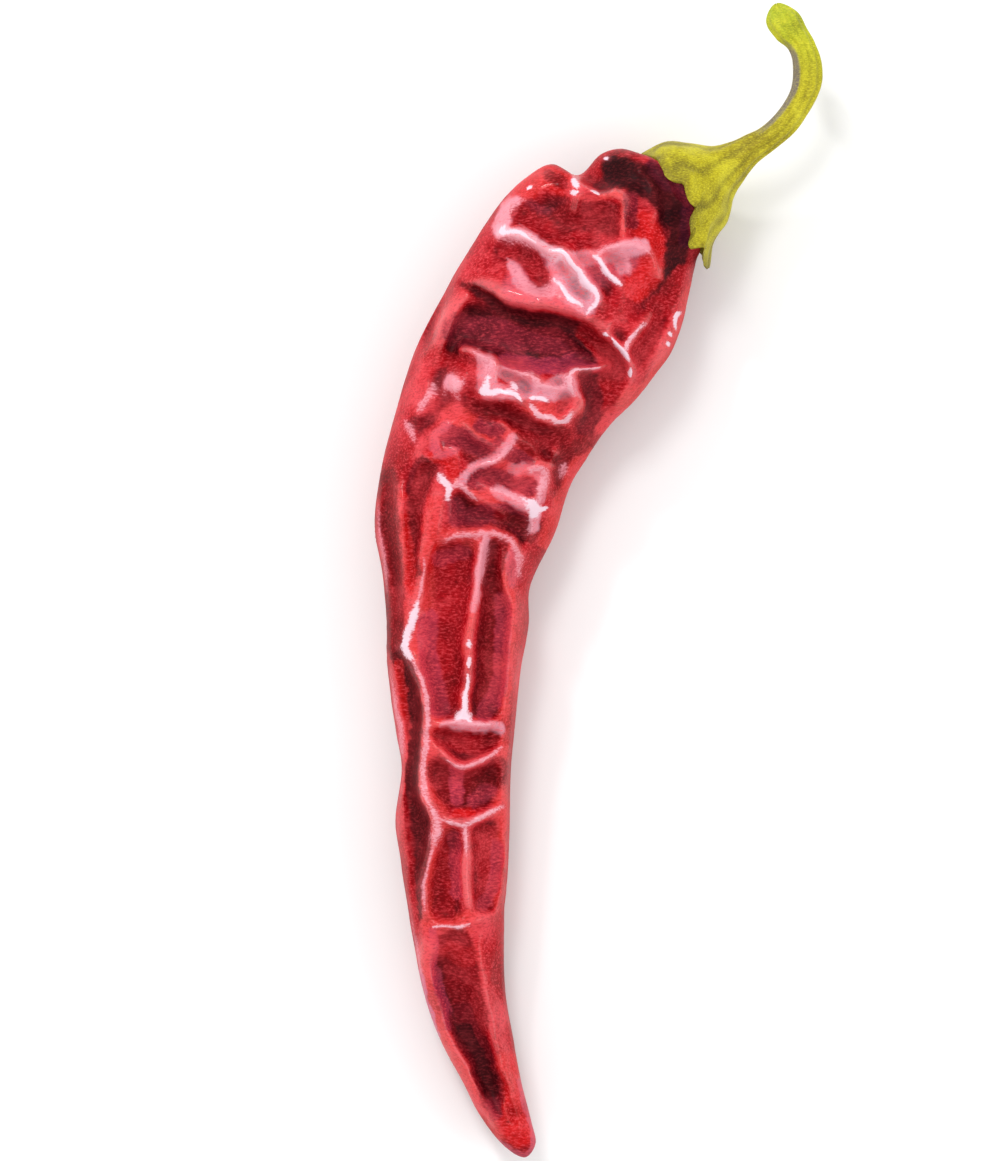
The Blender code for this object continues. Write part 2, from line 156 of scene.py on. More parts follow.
# Ridges of the shown side, each with its half width in millimetres, then points of the photograph
# with the ridge's height there.
RIDGES = {
    "left panel": (0.55, [
        (443, 474, 0.6), (437, 505, 1.3), (430, 535, 1.6), (422, 565, 1.7), (414, 600, 1.7),
        (404, 640, 1.6), (412, 662, 1.5), (421, 682, 1.5), (427, 705, 1.5), (423, 755, 1.4),
        (423, 780, 1.4), (430, 806, 1.6), (436, 828, 1.6), (430, 848, 1.5), (425, 875, 1.4),
        (424, 905, 1.3), (427, 920, 1.2)]),
    "middle": (0.4, [
        (481, 534, 0.9), (477, 570, 1.2), (474, 605, 1.3), (469, 640, 1.4), (467, 675, 1.4),
        (464, 705, 1.3), (462, 724, 1.2)]),
    "right rim": (0.6, [
        (503, 540, 0.7), (505, 565, 1.3), (511, 590, 1.6), (517, 610, 1.7), (515, 640, 1.6),
        (512, 680, 1.5), (509, 715, 1.5), (507, 745, 1.5), (507, 790, 1.4), (508, 830, 1.4),
        (505, 870, 1.2), (502, 910, 1.0)]),
    "top of the panels": (0.45, [
        (443, 540, 1.0), (465, 534, 1.3), (485, 532, 1.4), (503, 536, 1.4), (514, 545, 1.3),
        (518, 562, 1.0)]),
    "bright bar": (0.4, [
        (428, 720, 1.0), (440, 726, 1.4), (462, 722, 1.6), (490, 723, 1.6), (510, 725, 1.2)]),
    "bowl edge": (0.35, [
        (427, 738, 0.8), (433, 744, 1.2), (447, 758, 1.5), (460, 768, 1.6), (476, 764, 1.5),
        (492, 755, 1.4), (507, 742, 1.0)]),
    "second bar": (0.35, [
        (432, 808, 1.2), (445, 819, 1.4), (460, 823, 1.6), (474, 821, 1.6), (490, 812, 1.5),
        (507, 803, 1.0)]),
    "lower middle": (0.4, [(466, 824, 1.3), (466, 850, 1.1), (466, 880, 1.0), (470, 908, 0.9)]),
    "third bar": (0.35, [
        (422, 918, 0.8), (440, 925, 1.2), (465, 925, 1.3), (482, 919, 1.2), (503, 915, 0.7)]),
    "lower left rim": (0.6, [
        (422, 925, 1.0), (424, 960, 1.3), (427, 990, 1.4), (437, 1018, 1.5), (450, 1042, 1.5),
        (463, 1068, 1.4), (476, 1093, 1.2), (490, 1115, 1.0), (505, 1136, 0.5)]),
    "lower right rim": (0.5, [
        (470, 925, 0.6), (482, 960, 0.9), (490, 1000, 1.1), (500, 1040, 1.2), (508, 1080, 1.3),
        (510, 1110, 1.1), (518, 1135, 0.5)]),
    "outer left rim": (0.4, [
        (379, 488, 0.5), (374, 520, 0.9), (378, 548, 1.0), (385, 575, 1.0), (389, 605, 1.0),
        (391, 640, 1.0), (394, 680, 1.0), (398, 715, 1.0), (404, 742, 1.0), (404, 765, 1.0),
        (400, 790, 1.0), (400, 820, 1.0), (403, 850, 1.0), (407, 885, 0.8), (414, 930, 0.4)]),
    "left stripe": (0.4, [
        (393, 455, 0.4), (400, 500, 1.0), (403, 540, 1.2), (404, 580, 1.2), (401, 612, 1.0),
        (403, 640, 0.8)]),
    "neck right": (0.4, [
        (482, 484, 0.8), (492, 490, 1.3), (507, 498, 1.5), (522, 506, 1.7), (534, 509, 1.4),
        (546, 512, 0.6)]),
    "neck right up": (0.3, [(531, 508, 1.5), (540, 490, 1.2), (544, 472, 0.9), (556, 455, 0.6)]),
    "neck right down": (0.3, [(530, 508, 1.4), (533, 527, 0.9), (528, 548, 0.4)]),
    "neck left": (0.3, [(443, 470, 0.7), (447, 488, 1.0), (450, 500, 0.9), (449, 520, 0.5)]),
    "neck top": (0.3, [
        (447, 492, 0.8), (462, 487, 1.1), (472, 491, 1.1), (484, 500, 1.1), (503, 512, 0.7)]),
    "shelf left": (0.4, [
        (462, 350, 0.5), (475, 354, 1.0), (497, 364, 1.4), (490, 382, 1.5), (486, 396, 1.5),
        (500, 398, 1.4), (513, 396, 1.5), (524, 405, 1.4), (540, 403, 1.2), (552, 404, 0.8)]),
    "shelf middle": (0.35, [
        (508, 370, 0.8), (530, 379, 1.3), (545, 389, 1.5), (562, 392, 1.4), (574, 400, 1.0)]),
    "shelf low": (0.3, [
        (526, 406, 1.2), (540, 419, 1.2), (556, 423, 1.3), (570, 415, 1.2), (580, 402, 1.0)]),
    "shelf right": (0.35, [
        (606, 366, 0.6), (594, 369, 1.1), (580, 370, 1.3), (569, 377, 1.4), (569, 390, 1.4),
        (577, 400, 1.1)]),
    "right fork": (0.35, [
        (600, 336, 0.8), (613, 343, 1.3), (624, 353, 1.5), (628, 364, 1.4), (631, 380, 1.0),
        (628, 396, 0.5)]),
    "right fork up": (0.3, [(648, 316, 0.6), (642, 327, 1.1), (632, 340, 1.3), (624, 352, 1.4)]),
    "bulge over the trough": (0.7, [
        (458, 278, 0.8), (478, 286, 1.3), (500, 297, 1.7), (530, 303, 1.9), (560, 307, 1.9),
        (585, 316, 1.7), (604, 331, 1.2)]),
    "upper left": (0.45, [
        (500, 238, 0.8), (515, 234, 1.2), (524, 237, 1.4), (535, 248, 1.7), (547, 255, 1.9),
        (562, 255, 2.0), (572, 264, 2.1), (580, 276, 1.6), (584, 285, 1.6), (593, 294, 1.5),
        (597, 304, 1.4), (590, 314, 1.0)]),
    "upper middle": (0.35, [
        (588, 250, 0.8), (594, 258, 1.2), (600, 266, 1.3), (606, 278, 1.4), (613, 284, 1.3),
        (623, 287, 0.8)]),
    "short fold": (0.3, [
        (552, 282, 0.5), (557, 287, 1.5), (564, 296, 1.8), (575, 303, 1.9), (585, 309, 0.9)]),
    "upper arc": (0.35, [
        (595, 262, 0.8), (601, 256, 1.3), (615, 250, 1.5), (632, 248, 1.6), (645, 253, 1.5),
        (652, 262, 1.2), (655, 280, 0.8)]),
    "shoulder left": (0.4, [
        (494, 240, 0.4), (501, 228, 0.9), (508, 213, 1.1), (516, 203, 1.1), (526, 194, 0.8)]),
    "shoulder fold": (0.35, [(578, 172, 0.9), (577, 183, 1.2), (576, 200, 1.0), (572, 214, 0.5)]),
    "shoulder loop": (0.35, [
        (588, 188, 0.7), (596, 193, 1.1), (612, 196, 1.3), (624, 203, 1.4), (623, 218, 1.3),
        (621, 234, 1.0)]),
    "round bump": (0.6, [(452, 384, 1.3), (458, 388, 1.3)]),
    "small bump": (0.4, [(429, 397, 0.8), (432, 400, 0.8)]),
    "right edge fold": (0.5, [
        (684, 300, 0.5), (676, 325, 0.9), (664, 345, 1.0), (650, 364, 0.9), (636, 384, 0.7),
        (618, 404, 0.4)]),
    "left shoulder edge": (0.5, [(560, 182, 0.4), (538, 184, 0.8), (516, 204, 0.6)]),
    "left body edge": (0.8, [
        (480, 256, 0.4), (462, 288, 0.8), (448, 318, 0.9), (434, 350, 0.9), (422, 382, 0.8),
        (410, 420, 0.8), (402, 452, 0.6)]),
    "neck cell one": (0.3, [
        (462, 424, 0.9), (476, 436, 1.1), (490, 446, 1.1), (502, 448, 1.0), (512, 438, 0.8)]),
    "neck cell two": (0.3, [
        (512, 440, 0.9), (508, 455, 1.1), (495, 462, 1.2), (480, 466, 1.0), (468, 475, 0.8),
        (464, 488, 0.5)]),
    "neck cell three": (0.3, [
        (518, 480, 0.6), (528, 471, 1.0), (540, 468, 1.2), (547, 476, 1.1), (543, 492, 1.2),
        (536, 504, 1.3)]),
    "neck cell four": (0.3, [
        (446, 424, 0.6), (432, 440, 0.9), (422, 453, 1.0), (430, 459, 1.0), (446, 452, 1.0),
        (456, 452, 0.9), (457, 470, 0.8)]),
    "neck cell five": (0.25, [(500, 424, 0.5), (515, 438, 0.9), (535, 452, 1.0), (552, 466, 0.8)]),
}

# Hollows of the shown side: how deep the skin is drawn in, how far to each side of its path, and
# how firmly. A firm pull gives a flat-bottomed panel with steep sides.
HOLLOWS = {
    "trough": (3.4, 4.6, 3.0, [(440, 328), (470, 335), (510, 339), (550, 342), (580, 348), (606, 358)]),
    "upper pocket": (1.9, 4.2, 1.2, [(562, 218), (585, 216), (608, 224)]),
    "left pocket": (1.3, 3.4, 1.0, [(526, 214), (545, 226)]),
    "small pocket": (1.3, 1.5, 4.0, [(503, 250), (520, 257), (536, 270), (541, 284)]),
    "fold valley": (0.1, 1.1, 6.0, [(560, 272), (572, 284), (583, 297)]),
    "fold valley right": (0.1, 1.1, 6.0, [(582, 258), (592, 272), (604, 292)]),
    "fold valley far": (0.4, 1.3, 5.0, [(608, 262), (622, 270), (634, 276)]),
    "first bump pocket": (0.6, 1.6, 1.0, [(548, 182), (560, 182)]),
    "second bump pocket": (1.4, 2.8, 1.2, [(612, 180), (636, 182)]),
    "calyx pit": (2.4, 3.0, 2.5, [(655, 184), (665, 198), (671, 214)]),
    "calyx groove": (1.3, 2.2, 1.6, [
        (672, 216), (677, 235), (672, 260), (660, 285), (651, 310), (648, 345), (641, 371)]),
    "right pocket": (1.5, 3.2, 1.4, [(596, 384), (606, 396)]),
    "left of the bump": (1.0, 2.2, 1.2, [(436, 374), (444, 398), (462, 406), (474, 392)]),
    "left small pocket": (0.9, 2.2, 1.0, [(416, 430), (438, 424)]),
    "cell one": (1.2, 2.4, 1.5, [(464, 446), (482, 454), (492, 448)]),
    "cell two": (1.2, 2.0, 1.5, [(474, 472), (494, 482), (518, 478)]),
    "cell three": (0.9, 1.8, 1.2, [(512, 454), (526, 464)]),
    "neck pocket": (1.6, 2.6, 2.0, [(456, 508), (480, 519), (504, 522), (526, 532)]),
    "left panel": (1.8, 3.6, 1.6, [(456, 552), (450, 600), (447, 640), (444, 700)]),
    "right panel": (1.9, 2.6, 2.0, [(497, 550), (493, 600), (490, 650), (484, 706)]),
    "bowl": (1.5, 2.6, 2.0, [(446, 740), (467, 748), (490, 740)]),
    "long panel": (1.6, 3.8, 1.5, [(446, 782), (466, 788), (490, 782)]),
    "low left panel": (1.5, 2.8, 1.6, [(450, 838), (446, 870), (444, 906)]),
    "low right panel": (1.6, 2.4, 1.6, [(488, 832), (487, 865), (486, 902)]),
    "brown groove": (1.6, 2.0, 2.0, [
        (400, 650), (411, 673), (416, 700), (415, 740), (411, 775), (412, 800), (419, 825), (420, 850),
        (416, 880), (415, 905), (418, 940)]),
    "outer groove": (0.9, 1.4, 1.5, [(384, 480), (386, 520), (389, 555), (395, 600), (397, 645)]),
    "inner groove": (1.1, 1.9, 1.2, [(432, 466), (418, 495), (412, 520), (412, 575)]),
    "tip trough": (2.0, 2.3, 2.5, [
        (447, 968), (458, 1003), (467, 1030), (480, 1056), (490, 1080), (493, 1100), (490, 1122)]),
    "low body": (0.8, 3.0, 0.8, [(452, 940), (462, 975)]),
    "right flank": (1.0, 3.4, 0.8, [(560, 470), (575, 445), (600, 412), (622, 388)]),
    "left flank": (0.8, 3.6, 0.6, [(456, 304), (438, 346), (424, 392)]),
}

# Creases: thin, sharp-bottomed folds in the skin, with their depth.
CREASES = {
    "under the bulge": (2.9, [
        (457, 284), (480, 294), (495, 304), (505, 315), (525, 325), (545, 325), (560, 326), (572, 337),
        (584, 350), (602, 362)]),
    "below the shelf": (1.2, [(462, 409), (490, 412), (515, 422), (540, 432), (558, 438)]),
    "across the neck": (1.2, [(518, 440), (540, 455), (560, 461), (580, 453), (602, 441)]),
    "down the right": (1.4, [(587, 378), (589, 405), (585, 437)]),
    "shoulder": (1.3, [(586, 172), (592, 182), (606, 190)]),
    "shoulder side": (0.9, [(640, 172), (650, 190), (656, 215)]),
    "low side": (0.7, [(500, 845), (499, 880), (496, 908)]),
    "tip side": (0.9, [(500, 1075), (508, 1100), (516, 1128)]),
    "shelf fold one": (0.3, [(500, 372), (516, 382), (528, 392)]),
    "shelf fold two": (0.4, [(556, 384), (566, 398), (560, 412)]),
    "upper fold": (0.9, [(604, 240), (590, 246), (572, 244)]),
}

# The skin's colour isn't even. The patches paint some of its own colour, and they also paint light and
# shade: painted shade in its hollows, folds and creases and next to the calyx, and painted highlights,
# sheen and rim light on its ridges, slopes and edges. Each patch has its colour, how strongly it covers,
# its reach in millimetres, and its path.
SKIN_COLOURS = {
    "light": (242, 196, 208), "pale rose": (236, 166, 182), "rose": (210, 92, 110), "salmon": (214, 54, 52),
    "rose red": (190, 40, 50), "scarlet": (208, 22, 22), "crimson": (168, 8, 20), "lilac": (206, 128, 160),
    "deep crimson": (126, 5, 14), "maroon": (104, 10, 22), "brown": (88, 12, 18), "plum": (134, 34, 50),
    "mauve": (196, 62, 84), "pink plum": (176, 58, 86), "dark plum": (54, 12, 34), "near black": (30, 3, 8),
}
PATCHES_OF_COLOUR_LIGHT_AND_SHADE = {
    # Painted light and shade along the edges.
    "left edge": ("rose red", 0.8, 2.2, [
        (532, 172), (505, 196), (476, 238), (450, 278), (428, 318), (410, 358), (398, 405),
        (388, 450)]),
    "right edge": ("salmon", 0.8, 1.7, [
        (694, 290), (683, 325), (664, 358), (640, 390), (612, 420), (588, 452), (566, 500),
        (548, 540)]),
    "upper body": ("rose", 0.7, 3.2, [(520, 292), (545, 275), (575, 280), (600, 270), (622, 262)]),
    "first bump": ("scarlet", 0.9, 2.4, [(526, 188), (540, 178), (566, 186)]),
    "first bump dark": ("deep crimson", 0.9, 1.2, [(550, 177), (562, 184)]),
    "second bump": ("crimson", 0.85, 2.4, [(592, 172), (602, 160), (620, 154), (636, 160)]),
    "plateau": ("scarlet", 0.95, 2.6, [(640, 226), (650, 246), (650, 268), (636, 290)]),
    # Painted highlights and sheen on the upper folds.
    "upper rose": ("pale rose", 0.88, 1.6, [
        (512, 204), (500, 232), (522, 240), (548, 256), (575, 262), (600, 258), (640, 250)]),
    "slope rose": ("pale rose", 0.8, 2.4, [(558, 268), (572, 284), (586, 302)]),
    "arc rose": ("pale rose", 0.6, 1.3, [(600, 262), (612, 258), (622, 270)]),
    "rose below": ("rose", 0.7, 1.6, [(516, 270), (528, 292), (552, 298), (580, 312)]),
    "pale fold": ("light", 0.92, 1.3, [(503, 232), (520, 240), (540, 253), (556, 260)]),
    "pale rim": ("pale rose", 0.65, 1.3, [(514, 266), (520, 282), (534, 292), (552, 292)]),
    "pale slope": ("pale rose", 0.75, 1.9, [(556, 284), (570, 296), (586, 306)]),
    "pale top": ("light", 0.6, 1.0, [(566, 268), (578, 282), (588, 296)]),
    # Painted shade in the pockets and folds of the shoulder.
    "left pocket": ("crimson", 0.9, 1.9, [(518, 212), (535, 222), (552, 238), (580, 244), (606, 238)]),
    "pocket fold": ("plum", 0.7, 0.9, [(530, 206), (540, 212), (552, 214)]),
    "upper pocket": ("deep crimson", 0.95, 2.7, [(566, 222), (585, 214), (610, 222)]),
    "small pocket": ("crimson", 0.95, 1.6, [(504, 248), (520, 254), (531, 266), (541, 280)]),
    "loop": ("salmon", 0.9, 0.6, [(580, 200), (600, 199), (620, 198), (621, 214), (620, 236)]),
    "loop shade": ("dark plum", 0.7, 1.3, [(630, 202), (630, 226)]),
    "below the arc": ("crimson", 0.6, 1.8, [(604, 312), (622, 308), (600, 325)]),
    # Painted shade, near black and plum, next to the calyx.
    "second bump hollow": ("maroon", 1.0, 1.7, [(602, 186), (620, 178), (640, 186)]),
    "calyx shade": ("near black", 1.0, 3.0, [
        (616, 174), (636, 180), (652, 190), (668, 202), (672, 212)]),
    "calyx notch": ("near black", 0.95, 1.7, [(668, 184), (682, 192), (690, 206), (692, 214)]),
    "calyx side": ("near black", 0.95, 1.9, [(674, 208), (679, 235), (675, 256), (672, 276)]),
    "calyx plum": ("dark plum", 0.8, 1.0, [(652, 166), (664, 186), (682, 194), (686, 215), (684, 244)]),
    "right band": ("crimson", 0.95, 1.9, [(684, 275), (668, 296), (652, 318), (646, 342), (638, 374)]),
    # Painted shade in the trough and under the bulge, and painted sheen on the slope below it.
    "trough shade": ("plum", 0.95, 2.7, [(455, 332), (480, 333), (500, 336)]),
    "trough": ("plum", 0.95, 2.4, [(500, 340), (540, 342), (580, 350)]),
    "trough slope": ("pink plum", 0.9, 1.5, [(508, 362), (540, 369), (575, 364), (598, 364)]),
    "bulge shadow": ("maroon", 0.8, 1.5, [(500, 312), (528, 324), (556, 331), (574, 344), (588, 356)]),
    "crease": ("near black", 0.7, 0.9, [
        (463, 287), (484, 296), (500, 311), (528, 323), (556, 325), (574, 340), (590, 354),
        (602, 363)]),
    "right of the trough": ("crimson", 0.95, 2.2, [(588, 334), (606, 354), (612, 374), (606, 400)]),
    "right pocket": ("maroon", 0.95, 1.5, [(586, 378), (594, 396), (586, 432)]),
    "shelf side": ("crimson", 0.95, 1.9, [(432, 356), (456, 366), (474, 372), (476, 392)]),
    # Painted highlights on the shelf and the round bump.
    "shelf rose": ("pale rose", 0.65, 1.6, [
        (486, 362), (490, 392), (520, 394), (548, 394), (566, 384), (572, 400)]),
    "round bump": ("pale rose", 0.9, 1.4, [(450, 384), (456, 388)]),
    "shelf pale": ("pale rose", 0.6, 1.2, [(500, 372), (520, 384), (545, 396), (560, 396)]),
    "shelf front": ("salmon", 0.8, 1.6, [(530, 410), (550, 414), (574, 408)]),
    "below the shelf": ("deep crimson", 0.95, 1.5, [
        (472, 408), (496, 412), (520, 422), (545, 434), (562, 436)]),
    "left small pocket": ("maroon", 0.9, 1.3, [(414, 426), (436, 424), (424, 434)]),
    "left crimson": ("crimson", 0.9, 1.3, [(444, 424), (426, 440), (404, 456), (390, 478)]),
    "neck": ("salmon", 0.75, 3.4, [(455, 424), (480, 440), (510, 450), (530, 476), (490, 490)]),
    # Painted shade in the neck's cells.
    "cell one": ("plum", 0.95, 1.9, [(446, 438), (466, 442), (486, 452), (498, 450)]),
    "cell two": ("plum", 0.95, 1.8, [(474, 479), (500, 479), (526, 488)]),
    "cell three": ("plum", 0.95, 1.3, [(482, 426), (496, 432)]),
    "cell four": ("plum", 0.95, 1.3, [(512, 456), (528, 462)]),
    "across the neck": ("deep crimson", 0.9, 1.4, [
        (520, 440), (545, 455), (562, 458), (582, 446), (602, 441)]),
    "scarlet corner": ("scarlet", 0.8, 1.3, [(436, 456), (450, 462), (452, 476)]),
    "neck pocket": ("plum", 0.95, 1.8, [(456, 510), (462, 524), (482, 515), (504, 514), (524, 526)]),
    "neck pocket side": ("deep crimson", 0.9, 1.3, [(500, 516), (520, 524), (532, 536)]),
    # Painted highlights on the neck's folds.
    "neck folds": ("pale rose", 0.7, 0.9, [(462, 482), (474, 468), (492, 461), (505, 451), (511, 440)]),
    "neck folds right": ("pale rose", 0.5, 1.0, [(514, 470), (530, 471), (541, 484), (539, 500)]),
    "neck folds left": ("rose", 0.7, 0.8, [(446, 426), (432, 440), (440, 456), (456, 452)]),
    "neck rose": ("pale rose", 0.75, 1.2, [(500, 492), (520, 504), (536, 510), (534, 526)]),
    "panel salmon": ("salmon", 0.8, 2.2, [
        (448, 540), (470, 538), (500, 540), (512, 560), (516, 620), (512, 700), (506, 800),
        (506, 900)]),
    "left rib": ("salmon", 0.8, 2.2, [
        (432, 548), (426, 590), (416, 640), (430, 690), (432, 740), (428, 790), (440, 830), (430, 880),
        (428, 920), (470, 922)]),
    "left hollow": ("maroon", 0.95, 1.5, [(424, 464), (417, 482), (413, 510)]),
    "left brown": ("deep crimson", 0.95, 1.5, [(428, 470), (418, 496), (414, 530), (414, 570)]),
    "scarlet stripe": ("scarlet", 0.95, 1.5, [(434, 504), (430, 534), (426, 566)]),
    "outer stripe": ("scarlet", 0.85, 1.3, [(402, 498), (406, 545), (405, 590), (402, 618)]),
    "outer groove": ("deep crimson", 1.0, 1.9, [
        (387, 478), (389, 520), (391, 560), (393, 610), (396, 645)]),
    # The panels are painted darker than their ribs, partly as shade.
    "left panel": ("crimson", 0.95, 2.9, [(452, 558), (450, 600), (446, 640), (446, 700)]),
    "right panel": ("deep crimson", 1.0, 1.9, [(496, 548), (492, 600), (490, 650), (486, 704)]),
    "right rib": ("scarlet", 0.7, 0.9, [(506, 575), (516, 610), (514, 660), (510, 700)]),
    # A painted highlight on the bar.
    "bar pale": ("pale rose", 0.8, 1.1, [(446, 727), (470, 725), (500, 727)]),
    "bowl": ("crimson", 0.95, 1.7, [(444, 738), (466, 744), (490, 740)]),
    "long panel": ("deep crimson", 0.95, 2.5, [(440, 770), (452, 788), (478, 784), (498, 772)]),
    "long panel glow": ("scarlet", 0.9, 0.9, [(456, 812), (472, 812)]),
    "low left panel": ("crimson", 0.95, 1.9, [(452, 842), (446, 872), (444, 908)]),
    "low right panel": ("crimson", 0.95, 1.7, [(486, 834), (486, 866), (486, 902)]),
    # Painted shade in the brown groove.
    "brown groove": ("brown", 1.0, 1.3, [
        (398, 656), (411, 678), (416, 710), (414, 745), (412, 780), (420, 815), (422, 840), (417, 880),
        (414, 915)]),
    "low edge": ("crimson", 0.9, 1.4, [(402, 800), (406, 860), (409, 910), (414, 945)]),
    "low body": ("deep crimson", 0.97, 3.3, [(456, 945), (462, 985), (474, 1020)]),
    "low body glow": ("scarlet", 0.25, 1.7, [(448, 950), (468, 958), (486, 948)]),
    "low body right": ("crimson", 0.95, 2.8, [
        (498, 930), (501, 975), (507, 1015), (513, 1060), (519, 1090)]),
    "low left rib": ("salmon", 0.85, 1.3, [
        (420, 950), (425, 990), (440, 1032), (459, 1068), (478, 1104), (498, 1138)]),
    "tip": ("scarlet", 0.9, 2.6, [(508, 1066), (513, 1100), (518, 1136)]),
    "tip plum": ("pink plum", 0.7, 0.8, [(431, 930), (434, 965), (442, 1000), (452, 1026)]),
    "tip rim": ("lilac", 0.7, 0.6, [(418, 975), (427, 1010), (437, 1036)]),
    "tip rim low": ("pink plum", 0.7, 0.7, [(444, 1058), (466, 1104), (490, 1144)]),
    # Painted shade in the tip's trough.
    "tip trough": ("maroon", 0.9, 2.2, [
        (462, 1016), (470, 1036), (480, 1056), (488, 1078), (493, 1100)]),
    "tip fade": ("plum", 0.8, 1.3, [(493, 1104), (496, 1114)]),
    "tip shade": ("near black", 0.85, 1.3, [(466, 1030), (480, 1058), (490, 1080), (493, 1094)]),
    "middle salmon": ("salmon", 0.9, 0.9, [
        (484, 540), (479, 570), (474, 605), (469, 640), (467, 675), (464, 712)]),
    # A painted highlight on the middle ridge.
    "middle light": ("pale rose", 0.85, 0.8, [(485, 540), (480, 562), (476, 590), (474, 610)]),
    "corner rose": ("rose", 0.6, 1.3, [(511, 556), (517, 580)]),
    "panel mauve": ("mauve", 0.75, 1.9, [(428, 620), (428, 655), (434, 685), (440, 708)]),
    "panel mauve high": ("mauve", 0.45, 1.2, [(438, 560), (462, 552)]),
    "right mauve": ("mauve", 0.7, 1.5, [(502, 600), (502, 650), (498, 690), (484, 712)]),
    "right side": ("crimson", 0.8, 1.5, [
        (532, 556), (526, 590), (523, 640), (520, 700), (517, 780), (513, 860), (510, 920)]),
    "long mauve": ("mauve", 0.8, 1.4, [(456, 772), (457, 798)]),
    "long mauve right": ("mauve", 0.5, 1.2, [(474, 800), (492, 790)]),
    "low left mauve": ("mauve", 0.6, 1.0, [(452, 836), (454, 856), (456, 895)]),
    "low right mauve": ("mauve", 0.6, 1.1, [(484, 905), (496, 880), (496, 845)]),
    "outer scarlet": ("scarlet", 0.85, 0.8, [(400, 664), (404, 700), (406, 740)]),
    "tip edge": ("rose", 0.75, 0.8, [(523, 1084), (528, 1110), (537, 1140), (526, 1160), (498, 1147)]),
}

# A patch is solid up to a share of its reach, and its edge is ragged.
PATCH_CORE = 0.66
PATCH_RAGGED = 0.5
PATCH_RAGGED_SIZE = 0.8
